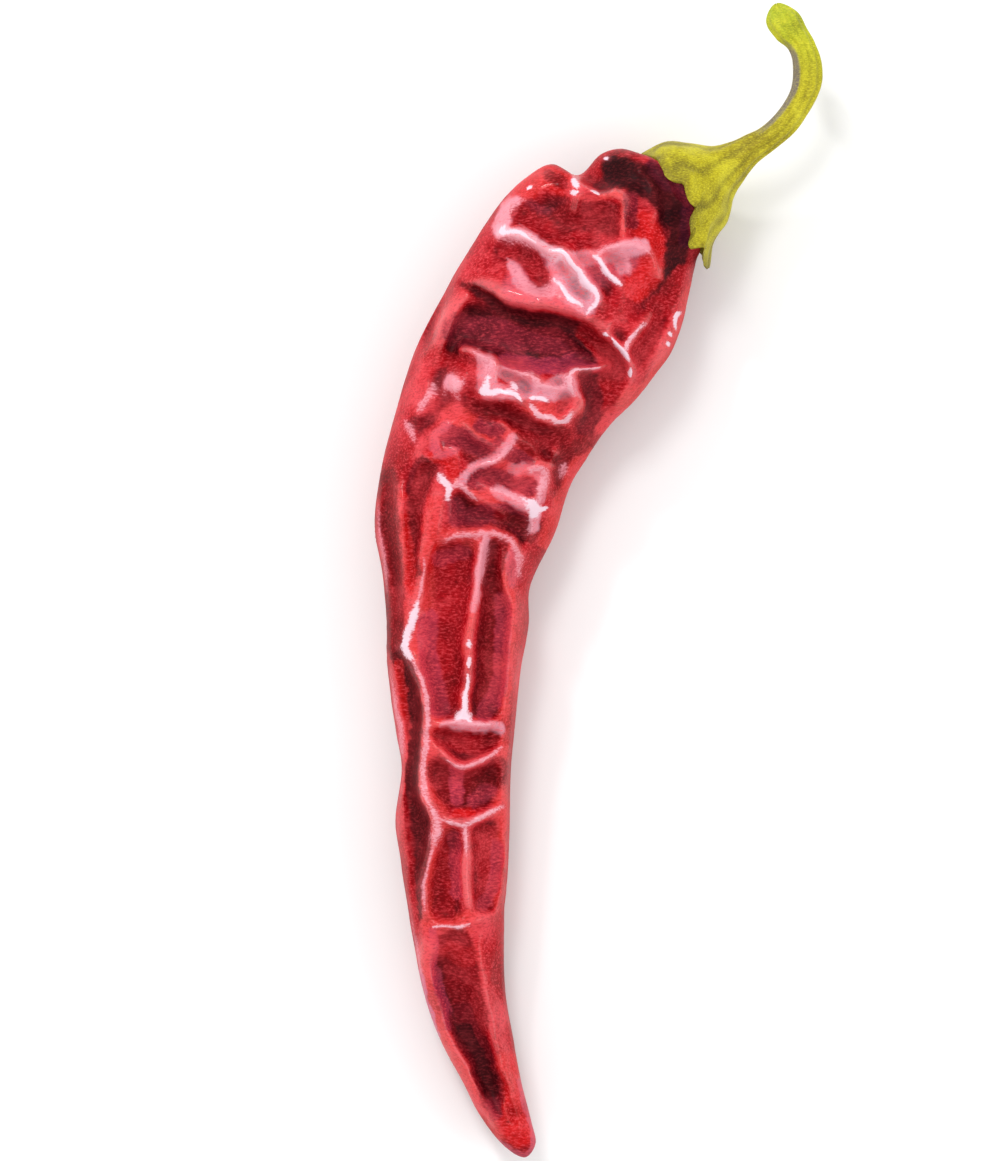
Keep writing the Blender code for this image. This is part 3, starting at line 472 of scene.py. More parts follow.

# Painted highlights along the ridges' tops, as rough-edged pale lines: half width in millimetres, strength,
# and path.
PAINTED_HIGHLIGHTS = {
    "first bump": (0.3, 1.0, [(525, 189), (529, 188)]),
    "notch": (0.35, 1.0, [(574, 180), (577, 189)]),
    "below the notch": (0.35, 1.0, [(571, 195), (577, 194)]),
    "right of the notch": (0.3, 1.0, [(591, 192), (597, 195)]),
    "second bump": (0.35, 1.0, [(604, 160), (608, 160)]),
    "shoulder": (0.8, 0.5, [(521, 200), (508, 210), (503, 224), (494, 230)]),
    "upper fold": (0.4, 1.0, [
        (508, 218), (504, 227), (501, 234), (512, 234), (520, 236), (526, 243), (533, 248)]),
    "upper fold side": (0.5, 0.5, [(498, 240), (515, 243), (530, 250), (542, 258)]),
    "long fold": (0.42, 1.0, [
        (548, 256), (556, 254), (562, 256), (567, 262), (572, 268), (577, 274), (579, 282), (584, 288),
        (592, 295), (596, 300), (594, 306), (590, 311), (587, 315)]),
    "middle fold": (0.45, 1.0, [
        (594, 260), (599, 264), (602, 272), (606, 279), (612, 283), (620, 287)]),
    "arc": (0.5, 0.5, [(598, 254), (612, 250), (628, 249), (640, 251), (648, 257)]),
    "arc foot": (0.35, 0.4, [(622, 256), (626, 266), (629, 276)]),
    "low fold": (0.4, 1.0, [(552, 281), (560, 290), (566, 297), (572, 301), (582, 308)]),
    "pocket rim": (0.7, 0.45, [(515, 268), (521, 281), (530, 290), (545, 293), (556, 288)]),
    "fork dot": (0.35, 1.0, [(602, 338), (606, 338)]),
    "fork": (0.45, 1.0, [(611, 340), (617, 346), (623, 352), (627, 359)]),
    "fork up": (0.35, 0.8, [(643, 327), (635, 334), (629, 342), (625, 350)]),
    "fork foot": (0.3, 1.0, [(628, 369), (628, 376)]),
    "right edge": (0.3, 1.0, [(681, 313), (676, 316), (675, 322), (676, 329)]),
    "right edge dot": (0.3, 1.0, [(668, 334), (671, 336)]),
    "right edge low": (0.3, 1.0, [(666, 346), (669, 345)]),
    "shelf": (0.5, 1.0, [
        (488, 377), (487, 388), (485, 395), (498, 394), (508, 395), (516, 399), (522, 405)]),
    "shelf dot": (0.4, 1.0, [(512, 385), (516, 391)]),
    "shelf bar": (0.3, 1.0, [(531, 400), (540, 400), (549, 403)]),
    "shelf low": (0.4, 0.8, [
        (530, 407), (536, 413), (542, 418), (552, 419), (557, 424), (566, 423), (570, 417)]),
    "shelf right": (0.3, 0.8, [(599, 369), (585, 370), (574, 372), (566, 378)]),
    "shelf right foot": (0.5, 0.7, [(566, 378), (568, 388), (573, 398)]),
    "shelf corner": (0.6, 0.5, [(472, 353), (482, 357), (490, 362), (488, 372)]),
    "shelf middle": (0.5, 0.55, [
        (511, 372), (522, 376), (530, 377), (536, 383), (542, 390), (556, 391), (566, 388)]),
    "round bump": (1.1, 0.55, [(450, 383), (456, 386), (455, 391)]),
    "small bump": (0.6, 0.5, [(434, 388), (430, 396), (425, 405), (421, 411)]),
    "neck edge": (0.5, 0.45, [(404, 424), (408, 432), (413, 441)]),
    "neck wave": (0.5, 0.5, [(513, 441), (508, 451), (500, 457), (490, 462), (482, 464)]),
    "neck left": (0.6, 0.95, [(440, 477), (445, 485), (449, 491), (447, 501)]),
    "neck middle": (0.4, 0.6, [(449, 490), (460, 487), (468, 493), (477, 500)]),
    "neck cross": (0.4, 0.6, [(494, 489), (508, 494), (521, 501), (530, 506)]),
    "neck centre": (0.8, 1.0, [(524, 501), (532, 506), (534, 513), (531, 520)]),
    "neck up": (0.6, 0.55, [(538, 504), (539, 492), (545, 480), (541, 470), (531, 471)]),
    "neck right": (0.3, 1.0, [(536, 512), (547, 508)]),
    "neck down": (0.5, 0.6, [(532, 518), (531, 526), (529, 533)]),
    "neck spot": (0.5, 0.4, [(565, 466), (562, 477)]),
    "top": (0.6, 0.5, [
        (446, 541), (458, 536), (475, 536), (490, 534), (504, 536), (513, 544), (519, 560),
        (521, 574)]),
    "rib": (0.55, 1.0, [(418, 602), (412, 620), (406, 638), (405, 648), (411, 660)]),
    "rib top": (0.3, 0.5, [(424, 560), (421, 583), (418, 602)]),
    "rib below": (0.45, 0.6, [
        (411, 660), (421, 675), (426, 690), (428, 710), (427, 738), (423, 773), (430, 808)]),
    "rib knee": (0.7, 0.6, [(430, 806), (436, 824), (433, 843)]),
    "rib foot": (0.35, 0.5, [(431, 846), (425, 880), (424, 908)]),
    "middle top": (0.7, 0.45, [(484, 542), (480, 562), (476, 592)]),
    "middle dot": (0.4, 1.0, [(470, 643), (470, 647)]),
    "middle dash": (0.35, 0.95, [(468, 659), (468, 668)]),
    "middle": (0.5, 1.0, [(467, 675), (465, 700), (463, 712)]),
    "middle foot": (0.75, 1.0, [(457, 720), (462, 712), (468, 720)]),
    "bar": (0.4, 0.6, [(450, 724), (470, 722), (490, 724)]),
    "bowl": (0.35, 0.6, [(447, 761), (460, 768), (476, 764), (492, 755), (503, 747)]),
    "second bar": (0.4, 0.7, [(440, 818), (455, 823), (468, 825), (485, 815), (503, 805)]),
    "low middle": (0.5, 0.6, [(466, 827), (466, 852)]),
    "third bar": (0.35, 0.8, [(432, 925), (450, 926), (469, 925)]),
    "left rim": (0.4, 0.4, [(390, 672), (396, 715), (400, 745), (398, 775), (396, 802)]),
    "left rim high": (0.35, 0.3, [(377, 505), (380, 545), (384, 590)]),
    "tip rim": (0.4, 0.35, [(402, 900), (412, 945), (420, 985)]),
}

# A painted highlight fades over GLINT_REACH half widths. It weakens to GLINT_END at its ends, over a share
# of its run, and its width wanders between the shares in GLINT_DABS.
GLINT_REACH = 2.4
GLINT_END = 0.72
GLINT_TAPER = 0.22
GLINT_DABS = (0.62, 1.38)
GLINT_DAB_SIZE = 1.1


def path_mm(points):
    """A smooth path in millimetres from points of the photograph; extra columns are kept."""
    points = np.asarray(points, dtype=float)
    return smooth_path(np.column_stack([photo_mm(points[:, :2]), points[:, 2:]]))


def nearest_on_path(xy, path, reach):
    """For each point within reach of a path: its index, its distance and its place along the path."""
    low, high = path[:, :2].min(0) - reach, path[:, :2].max(0) + reach
    near = np.flatnonzero(((xy >= low) & (xy <= high)).all(axis=1))
    here = xy[near]
    best = np.full(len(near), np.inf)
    place = np.zeros(len(near))
    for k in range(len(path) - 1):
        start, step = path[k, :2], path[k + 1, :2] - path[k, :2]
        offset = here - start
        share = np.clip(offset @ step / (step @ step), 0.0, 1.0)
        distance = np.linalg.norm(offset - share[:, None] * step, axis=1)
        closer = distance < best
        best[closer] = distance[closer]
        place[closer] = k + share[closer]
    return near, best, place


def clouds(xy, size, seed):
    """Smooth seeded noise from 0 to 1 whose lumps are about size across."""
    lattice = np.random.RandomState(seed).uniform(0, 1, (64, 64))
    cell = np.floor(xy / size).astype(int)
    share = xy / size - cell
    share = share * share * (3 - 2 * share)
    corner = [lattice[(cell[:, 0] + i) % 64, (cell[:, 1] + j) % 64] for i in (0, 1) for j in (0, 1)]
    low = corner[0] + (corner[1] - corner[0]) * share[:, 1]
    high = corner[2] + (corner[3] - corner[2]) * share[:, 1]
    return low + (high - low) * share[:, 0]


def crumple(xy, size, seed):
    """Seeded noise from 0 to 1 with sharp wandering ridges, as in crushed paper."""
    return 1 - np.abs(2 * clouds(xy, size, seed) - 1)


def blurred(field, cells):
    """A raster blurred twice by a running mean, which is close to a Gaussian."""
    for _ in range(2):
        for axis in (0, 1):
            margins = [(cells + 1, cells) if k == axis else (0, 0) for k in (0, 1)]
            padded = np.pad(field, margins, mode="edge")
            total = np.cumsum(padded, axis=axis)
            width = 2 * cells + 1
            upper = np.take(total, np.arange(width, total.shape[axis]), axis=axis)
            lower = np.take(total, np.arange(0, total.shape[axis] - width), axis=axis)
            field = (upper - lower) / width
    return field


# The skin between the ridges is a thin membrane. It is solved on a raster seen from above: ridges
# hold it up, creases hold it down, hollows draw it in, and elsewhere it eases back to the full form.
RASTER_CELL = 0.2
RASTER_LOW = np.array([-36.0, -89.0])
RASTER_SHAPE = (265, 790)
RIDGE_GRIP = 1.2
CREASE_HALF_WIDTH = 0.3
EASE_BACK = 0.0035
HOLLOW_PULL = 0.012
MEMBRANE_STEPS = 500
WARP = 0.32
WARP_SIZES = (4.5, 1.9)
CRUMPLES = ((0.42, 6.0, 31), (0.30, 2.8, 32), (0.16, 1.4, 33))


def linear(red, green, blue):
    """A display colour, 0 to 255, as the linear values that a shader takes."""
    share = np.array([red, green, blue]) / 255.0
    return (*np.where(share <= 0.04045, share / 12.92, ((share + 0.055) / 1.055) ** 2.4), 1.0)


def bent_places(xy):
    """Places shifted by seeded noise, so that what follows a path wanders off it a little."""
    large, small = WARP_SIZES
    shift = [clouds(xy, large, seed) + 0.5 * clouds(xy, small, seed + 2) - 0.75 for seed in (21, 22)]
    return xy + 2 * WARP * np.stack(shift, axis=1)


def patch_colour_light_and_shade(xy, cover):
    """The patches' colour, painted light and shade among it, over each place, and how much of the colour
    beneath it hides.
    """
    ragged = np.stack([clouds(xy, PATCH_RAGGED_SIZE, seed) for seed in (41, 42)], 1) - 0.5
    bent = bent_places(xy) + PATCH_RAGGED * ragged
    colour, hidden = np.zeros((len(xy), 3)), np.zeros(len(xy))
    for name, strength, reach, points in PATCHES_OF_COLOUR_LIGHT_AND_SHADE.values():
        near, distance, _ = nearest_on_path(bent, path_mm(points), reach)
        share = strength * (1 - smoothstep(PATCH_CORE, 1.0, distance / reach)) * cover[near]
        colour[near] += (np.array(linear(*SKIN_COLOURS[name])[:3]) - colour[near]) * share[:, None]
        hidden[near] += (1 - hidden[near]) * share
    return np.column_stack([colour / np.maximum(hidden, 1e-6)[:, None], hidden])


def painted_highlight_values(xy):
    """How close each place lies to the middle of a painted highlight, from 0 to 1, and that highlight's
    strength.
    """
    bent = bent_places(xy)
    narrow, wide = GLINT_DABS
    spread = GLINT_REACH * (narrow + (wide - narrow) * clouds(xy, GLINT_DAB_SIZE, 43))
    values = np.zeros((len(xy), 4))
    for width, strength, points in PAINTED_HIGHLIGHTS.values():
        path = path_mm(points)
        near, distance, place = nearest_on_path(bent, path, wide * GLINT_REACH * width)
        from_end = np.minimum(place, len(path) - 1 - place) / (len(path) - 1)
        share = np.clip(1 - distance / (spread[near] * width), 0, 1)
        share *= GLINT_END + (1 - GLINT_END) * smoothstep(0.0, GLINT_TAPER, from_end)
        closer = share > values[near, 0]
        values[near[closer], 0], values[near[closer], 1] = share[closer], strength
    return values


def membrane():
    """The relief of the shown side on the raster, in millimetres."""
    bent = bent_places(RASTER_LOW + np.indices(RASTER_SHAPE).reshape(2, -1).T * RASTER_CELL)
    grip, pull = np.full(len(bent), EASE_BACK), np.zeros(len(bent))
    for width, points in RIDGES.values():
        path = path_mm(points)
        near, distance, place = nearest_on_path(bent, path, 3 * width)
        hold = RIDGE_GRIP * np.exp(-(distance / width) ** 2)
        grip[near] += hold
        pull[near] += hold * np.interp(place, np.arange(len(path)), path[:, 2])
    for depth, points in CREASES.values():
        path = path_mm(points)
        near, distance, place = nearest_on_path(bent, path, 4 * CREASE_HALF_WIDTH)
        taper = np.sin(np.pi * np.clip(place / (len(path) - 1), 0.04, 0.96)) ** 0.5
        hold = RIDGE_GRIP * np.exp(-(distance / CREASE_HALF_WIDTH) ** 2) * taper
        grip[near] += hold
        pull[near] -= hold * depth * taper
    for depth, reach, firmness, points in HOLLOWS.values():
        near, distance, _ = nearest_on_path(bent, path_mm(points), reach)
        hold = HOLLOW_PULL * firmness * np.clip(1 - (distance / reach) ** 2, 0, 1) ** 1.2
        grip[near] += hold
        pull[near] -= hold * depth
    grip, pull = grip.reshape(RASTER_SHAPE), pull.reshape(RASTER_SHAPE)
    relief = np.zeros(RASTER_SHAPE)
    for _ in range(MEMBRANE_STEPS):
        around = relief[:-2, 1:-1] + relief[2:, 1:-1] + relief[1:-1, :-2] + relief[1:-1, 2:]
        relief[1:-1, 1:-1] = (around + 4 * pull[1:-1, 1:-1]) / (4 + 4 * grip[1:-1, 1:-1])
    folds = sum(height * (crumple(bent * [1.0, 0.7], size, seed) - 0.6) for height, size, seed in CRUMPLES)
    return relief + folds.reshape(RASTER_SHAPE)


NEAR_CELLS = 5
WIDE_CELLS = 18
relief_raster = blurred(membrane(), 1)
relief_near = blurred(relief_raster, NEAR_CELLS)
relief_wide = blurred(relief_raster, WIDE_CELLS)


def read_raster(raster, xy):
    """The raster's values at places in millimetres."""
    at = np.clip((xy - RASTER_LOW) / RASTER_CELL, 0, np.array(RASTER_SHAPE) - 1.001)
    cell = np.floor(at).astype(int)
    share = at - cell
    i, j = cell.T
    low = raster[i, j] + (raster[i, j + 1] - raster[i, j]) * share[:, 1]
    high = raster[i + 1, j] + (raster[i + 1, j + 1] - raster[i + 1, j]) * share[:, 1]
    return low + (high - low) * share[:, 0]


RIDGE_SHARPNESS = 1.7
RELIEF_DEPTH = 1.1
SIDE_FOLDS = 30
SIDE_FOLD_SEED = 11
SIDE_FOLD_HEIGHT = 1.7
SIDE_FOLD_REACH = 4.0
SIDE_FOLD_RUN = (14, 34)
SIDE_FOLD_SLANT = (-7, 7)
SIDE_FOLD_BEND = (-3, 3)
SIDE_FOLD_SHARE = (0.6, 1.0)
SIDE_HOLLOW = 0.7
SECTION_SPACING = 5.6
POD_LENGTH = 150
HALF_GIRTH = 44


def side_folds(along, around):
    """Creases that wander along the sides and underside of the pod, in a seeded scatter."""
    draw = np.random.RandomState(SIDE_FOLD_SEED)
    here = np.stack([along, around], axis=1)
    raised = np.zeros(len(along))
    for _ in range(SIDE_FOLDS):
        start = np.array([draw.uniform(0, POD_LENGTH), draw.uniform(0, HALF_GIRTH)])
        run = np.array([draw.uniform(*SIDE_FOLD_RUN), draw.uniform(*SIDE_FOLD_SLANT)])
        bend = np.array([0.0, draw.uniform(*SIDE_FOLD_BEND)])
        height = SIDE_FOLD_HEIGHT * draw.uniform(*SIDE_FOLD_SHARE)
        path = smooth_path([start, start + run / 2 + bend, start + run])
        near, distance, _ = nearest_on_path(here, path, SIDE_FOLD_REACH)
        share = np.clip(1 - distance / SIDE_FOLD_REACH, 0, 1) ** RIDGE_SHARPNESS
        raised[near] = np.maximum(raised[near], height * share)
    return raised - SIDE_HOLLOW


pod_rows = section_rows(POD_SECTIONS)
pod_rows = np.vstack([mirrored(pod_rows[1]), pod_rows, 2 * pod_rows[-1] - pod_rows[-2]])
pod_end = float(len(POD_SECTIONS))
shoulder_middle, shoulder_width, shoulder_across, shoulder_forward = (
    value[0] for value in section_frames(pod_rows[-2:-1])
)
shoulder_depth, shoulder_height = pod_rows[-2, 4:6]


def seat_rise(angle):
    """How far the calyx line climbs the stem on the upper side and on the underside."""
    return np.where(np.sin(angle) > 0, SEAT_RISE_TOP, SEAT_RISE_UNDER) * np.abs(np.sin(angle)) ** 1.5


def seat(xy, z):
    """Where the seat under the calyx lies along its axis, from the shoulder's last section."""
    across = (xy - shoulder_middle) @ shoulder_across / shoulder_width
    up = (z - shoulder_height) / shoulder_depth
    spread = np.minimum(np.hypot(across, up), 1.0) ** 2
    return seat_rise(np.arctan2(up, across)) * spread - SEAT_DIP * (1 - spread)


# What shows only on part of the pod fades in between two sines of the angle round it, which are 0 at
# its edges and 1 on top, and between two sections, counted from the tip or back from the shoulder.
RELIEF_SINES, RELIEF_TIP, RELIEF_SHOULDER = (0.0, 0.4), (1.0, 2.6), 0.9
FOLD_SINES, FOLD_TIP, FOLD_SHOULDER = (0.0, 0.45), (1.5, 8.0), 1.2
PATCH_SINES, PATCH_TIP = (-0.55, 0.2), (0.9, 1.3)
GLINT_SINES = (-0.05, 0.35)
UPWARD_SINES = (0.1, 0.7)
SEAT_CLIMB = 2.5


def before_shoulder(t, sections):
    """1 along the pod, easing to 0 over its last sections."""
    return 1 - smoothstep(pod_end - sections, pod_end, t)


def pod_skin(t, angle):
    """Points of the pod's skin with its relief: t counts sections, angle turns from the right edge."""
    values = smooth_values(pod_rows, np.minimum(t, pod_end))
    middle, width, across, forward = section_frames(values)
    cosine, sine = np.cos(angle), np.sin(angle)
    size = 1 - np.clip(t - pod_end, 0, 1)
    under = smoothstep(*FOLD_SINES, -sine) * smoothstep(*FOLD_TIP, t) * before_shoulder(t, FOLD_SHOULDER)
    outward = under * side_folds(SECTION_SPACING * t, width * np.mod(-angle, 2 * np.pi))
    xy = middle + across * ((width * size + outward) * cosine)[:, None]
    z = values[:, 5] + (values[:, 4] * size + outward) * sine
    over = smoothstep(*RELIEF_SINES, sine) * smoothstep(*RELIEF_TIP, t)
    over *= before_shoulder(t, RELIEF_SHOULDER)
    climb = seat_rise(angle) * smoothstep(pod_end - SEAT_CLIMB, pod_end, t)
    place = xy + forward * np.where(t >= pod_end, seat(xy, z), climb)[:, None]
    relief = read_raster(relief_raster, place)
    z = z + over * RELIEF_DEPTH * relief
    shown = smoothstep(*PATCH_SINES, sine) * smoothstep(*PATCH_TIP, t)
    fields = {
        "patch": patch_colour_light_and_shade(place, shown),
        # Painted highlights on the ridges' tops.
        "glint": painted_highlight_values(place) * smoothstep(*GLINT_SINES, sine)[:, None],
        "height": over * relief + outward,
        "crest": over * (relief - read_raster(relief_near, place)),
        "swell": over * (relief - read_raster(relief_wide, place)),
        "upward": smoothstep(*UPWARD_SINES, sine),
    }
    return np.column_stack([place, np.maximum(z, 0.0)]), fields


def ring_mesh(name, around, stations, surface, angles=None):
    """A closed skin: a pole, a ring of faces for each station, and a pole."""
    stations = np.asarray(stations)
    if angles is None:
        angles = np.linspace(0, 2 * np.pi, around, endpoint=False)
    t = np.concatenate([stations[:1], np.repeat(stations[1:-1], around), stations[-1:]])
    angle = np.concatenate([[0.0], np.tile(angles, len(stations) - 2), [0.0]])
    points, fields = surface(t, angle)
    rings = np.arange(len(stations) - 2)[:, None] * around + 1
    here = np.arange(around)[None, :]
    beside = (here + 1) % around
    corners = (rings[:-1] + here, rings[:-1] + beside, rings[1:] + beside, rings[1:] + here)
    faces = np.stack(corners, -1).reshape(-1, 4).tolist()
    last = len(t) - 1
    faces += [(0, int(1 + b), int(1 + a)) for a, b in zip(here[0], beside[0])]
    faces += [(last, int(rings[-1, 0] + a), int(rings[-1, 0] + b)) for a, b in zip(here[0], beside[0])]
    mesh = bpy.data.meshes.new(name)
    mesh.from_pydata((points * MM).tolist(), [], faces)
    for key, value in {**fields, "along": t, "turn": angle}.items():
        kind, slot = ("FLOAT", "value") if value.ndim == 1 else ("FLOAT_COLOR", "color")
        attribute = mesh.attributes.new(key, kind, "POINT")
        attribute.data.foreach_set(slot, value.astype(np.float32).ravel())
    mesh.update()
    work = bmesh.new()
    work.from_mesh(mesh)
    if work.calc_volume(signed=True) < 0:
        bmesh.ops.reverse_faces(work, faces=work.faces)
    work.to_mesh(mesh)
    work.free()
    mesh.shade_smooth()
    piece = bpy.data.objects.new(name, mesh)
    bpy.context.scene.collection.objects.link(piece)
    return piece


def top_heavy_angles(count, share_on_top):
    """Angles round a section, closer together on the shown side."""
    top = int(count * share_on_top)
    upper = np.linspace(0, np.pi, top, endpoint=False)
    lower = np.linspace(np.pi, 2 * np.pi, count - top, endpoint=False)
    return np.concatenate([upper, lower])


pod_stations = list(even_steps(pod_rows, 1.0, pod_end, POD_ALONG))
pod_stations += list(pod_end + np.linspace(0, 1, POD_SEAT_RINGS + 1)[1:])
pod = ring_mesh("pod_skin", POD_AROUND, pod_stations, pod_skin, top_heavy_angles(POD_AROUND, SHARE_ON_TOP))


def move_to_node(piece, node):
    """The level move that lays a piece's mesh over the middle of a node's box."""
    low, high = (Vector(corner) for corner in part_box(node))
    places = np.array([corner[:] for corner in piece.bound_box])
    move = (low + high) / 2 - Vector((places.min(axis=0) + places.max(axis=0)) / 2)
    move.z = 0
    return move


pod_move = move_to_node(pod, "pod")
pod.data.transform(Matrix.Translation(pod_move))


class Wiring:
    """A node tree with short ways to add nodes; each but node returns the new node's output."""

    def __init__(self, tree):
        self.tree = tree

    def fill(self, slot, value):
        """Wire a socket to another node's output, or set it to a plain value."""
        if isinstance(value, bpy.types.NodeSocket):
            self.tree.links.new(value, slot)
        else:
            slot.default_value = value

    def node(self, kind, *feeds, **values):
        """A node with its properties; feeds fill its first inputs, and a value may name an input."""
        node = self.tree.nodes.new(kind)
        for key, value in values.items():
            if key in node.inputs:
                self.fill(node.inputs[key], value)
            else:
                setattr(node, key, value)
        for slot, value in zip(node.inputs, feeds):
            self.fill(slot, value)
        return node

    def maths(self, operation, *feeds, clamp=False):
        return self.node("ShaderNodeMath", *feeds, operation=operation, use_clamp=clamp).outputs[0]

    def product(self, first, *others):
        for other in others:
            first = self.maths("MULTIPLY", first, other)
        return first

    def line(self, value, slope, start, clamp=False):
        """The value times a slope, plus a start; with clamp it stays between 0 and 1."""
        return self.maths("MULTIPLY_ADD", value, slope, start, clamp=clamp)

    def mix(self, share, first, second, blend="MIX"):
        """Two colours mixed by a share."""
        node = self.node("ShaderNodeMix", share, data_type="RGBA", blend_type=blend)
        self.fill(node.inputs[6], first)
        self.fill(node.inputs[7], second)
        return node.outputs[2]

    def ramp(self, factor, stops):
        """A colour ramp with display colours at places from 0 to 1."""
        node = self.node("ShaderNodeValToRGB", factor)
        elements = node.color_ramp.elements
        while len(elements) < len(stops):
            elements.new(0.5)
        for element, (place, colour) in zip(elements, stops):
            element.position, element.color = place, linear(*colour)
        return node.outputs["Color"]

    def field(self, name, output="Fac"):
        """A value that the mesh carries at each point."""
        return self.node("ShaderNodeAttribute", attribute_name=name).outputs[output]

    def parts(self, colour):
        """The red, green and blue of a colour."""
        return self.node("ShaderNodeSeparateColor", colour).outputs


def new_group(kind, name, inputs, outputs):
    """A node group with named sockets, as its wiring, what it is given and the sockets that end it.

    An input is its value, a number or a colour, or else the name of its type.
    """
    tree = bpy.data.node_groups.new(name, kind)
    for label, value in inputs.items():
        socket_type = value if isinstance(value, str) else "Color" if isinstance(value, tuple) else "Float"
        socket = tree.interface.new_socket(label, in_out="INPUT", socket_type="NodeSocket" + socket_type)
        if not isinstance(value, str):
            socket.default_value = value
    for label, socket_type in outputs.items():
        tree.interface.new_socket(label, in_out="OUTPUT", socket_type="NodeSocket" + socket_type)
    return Wiring(tree), tree.nodes.new("NodeGroupInput").outputs, tree.nodes.new("NodeGroupOutput").inputs


def new_material(name):
    """A material with its wiring and the inputs of its shader."""
    material = bpy.data.materials.new(name)
    material.use_nodes = True
    return material, Wiring(material.node_tree), material.node_tree.nodes["Principled BSDF"].inputs


def raise_skin(nodes, given, ends, attribute, level, rise):
    """End a geometry tree: each point moves out by rise, and its level is kept as an attribute."""
    stored = nodes.node("GeometryNodeStoreNamedAttribute", data_type="FLOAT", domain="POINT",
                        Geometry=given["Geometry"], Name=attribute, Value=level)
    normal = nodes.node("GeometryNodeInputNormal").outputs[0]
    offset = nodes.node("ShaderNodeVectorMath", normal, operation="SCALE", Scale=rise)
    moved = nodes.node("GeometryNodeSetPosition", Geometry=stored.outputs[0], Offset=offset.outputs[0])
    real = nodes.node("GeometryNodeRealizeInstances", moved.outputs[0])
    finish = nodes.node("GeometryNodeSetMaterial", Geometry=real.outputs[0], Material=given["Material"])
    nodes.fill(ends["Geometry"], finish.outputs[0])


def finished(piece, tree, values):
    """The piece as a plain mesh after a geometry tree has shaped it."""
    modifier = piece.modifiers.new(tree.name, "NODES")
    modifier.node_group = tree
    for item in tree.interface.items_tree:
        if item.item_type == "SOCKET" and item.in_out == "INPUT" and item.name in values:
            modifier[item.identifier] = values[item.name]
    shaped = bpy.data.meshes.new_from_object(piece.evaluated_get(bpy.context.evaluated_depsgraph_get()))
    piece.modifiers.remove(modifier)
    plain, piece.data = piece.data, shaped
    bpy.data.meshes.remove(plain)
    shaped.name = piece.name
    shaped.shade_smooth()


# A fine grain of wrinkles covers the whole skin, longer along the pod than across it.
WRINKLE_SIZES = {"Height": 0.0002, "Wrinkles per metre": 300.0, "Stretch": 0.5, "Seed": 3.0}
wrinkles, given, ends = new_group(
    "GeometryNodeTree", "fine wrinkles", {"Geometry": "Geometry", **WRINKLE_SIZES, "Material": "Material"},
    {"Geometry": "Geometry"})
stretch = wrinkles.node("ShaderNodeCombineXYZ", X=1.0, Y=given["Stretch"], Z=1.0)
place = wrinkles.node("ShaderNodeVectorMath", wrinkles.node("GeometryNodeInputPosition").outputs[0],
                      stretch.outputs[0], operation="MULTIPLY")
noise = wrinkles.node("ShaderNodeTexNoise", noise_dimensions="4D", noise_type="RIDGED_MULTIFRACTAL",
                      normalize=False, Vector=place.outputs[0], W=given["Seed"],
                      Scale=given["Wrinkles per metre"], Detail=3.0, Roughness=0.55)
level = wrinkles.maths("SUBTRACT", noise.outputs[0], 1.0)
raise_skin(wrinkles, given, ends, "wrinkle", level, wrinkles.product(level, given["Height"]))

# Skin and stalk both have an uneven tone, in wide clouds and in a fine grain, so it is one shared
# group. Dark places lighten little and pale places darken little.
GRAINS_PER_PATCH = 25.0
GRAIN_STRETCH = (0.38, 1.0, 1.0)
TONE_CONTRAST = 5.0
tone, given, ends = new_group(
    "ShaderNodeTree", "uneven tone",
    {"Colour": (0.5, 0.5, 0.5, 1.0), "Darker": (0.5, 0.5, 0.5, 1.0), "Lighter": (0.9, 0.9, 0.9, 1.0),
     "Patches per metre": 60.0, "Amount": 0.3, "Speckle": 0.25},
    {"Colour": "Color", "Grain": "Float", "Clouds": "Float"})
place = tone.node("ShaderNodeTexCoord").outputs["Object"]
grain_place = tone.node("ShaderNodeVectorMath", place, GRAIN_STRETCH, operation="MULTIPLY").outputs[0]
wide_clouds = tone.node("ShaderNodeTexNoise", Vector=place, Scale=given["Patches per metre"],
                        Detail=4.0, Roughness=0.6, Distortion=0.4).outputs[0]
fine_grain = tone.node("ShaderNodeTexNoise", Vector=grain_place, Detail=4.0, Roughness=0.65,
                       Scale=tone.product(given["Patches per metre"], GRAINS_PER_PATCH)).outputs[0]
red, _, blue = tone.parts(given["Colour"])
lightens = tone.line(red, 2.2, 0.04, clamp=True)
darkens = tone.line(blue, -1.3, 1.0, clamp=True)
colour = given["Colour"]
for noise, strength in ((wide_clouds, "Amount"), (fine_grain, "Speckle")):
    past_middle = tone.maths("SUBTRACT", noise, 0.5)
    below = tone.maths("MULTIPLY", past_middle, -TONE_CONTRAST, clamp=True)
    above = tone.maths("MULTIPLY", past_middle, TONE_CONTRAST, clamp=True)
    colour = tone.mix(tone.product(below, given[strength], darkens), colour, given["Darker"], "MULTIPLY")
    colour = tone.mix(tone.product(above, given[strength], lightens), colour, given["Lighter"])
for label, value in (("Colour", colour), ("Grain", fine_grain), ("Clouds", wide_clouds)):
    tone.fill(ends[label], value)


def toned(nodes, colour, settings):
    """The outputs of the uneven tone over a colour."""
    group = nodes.node("ShaderNodeGroup", node_tree=tone.tree)
    for label, value in {"Colour": colour, **settings}.items():
        nodes.fill(group.inputs[label], value)
    return group.outputs
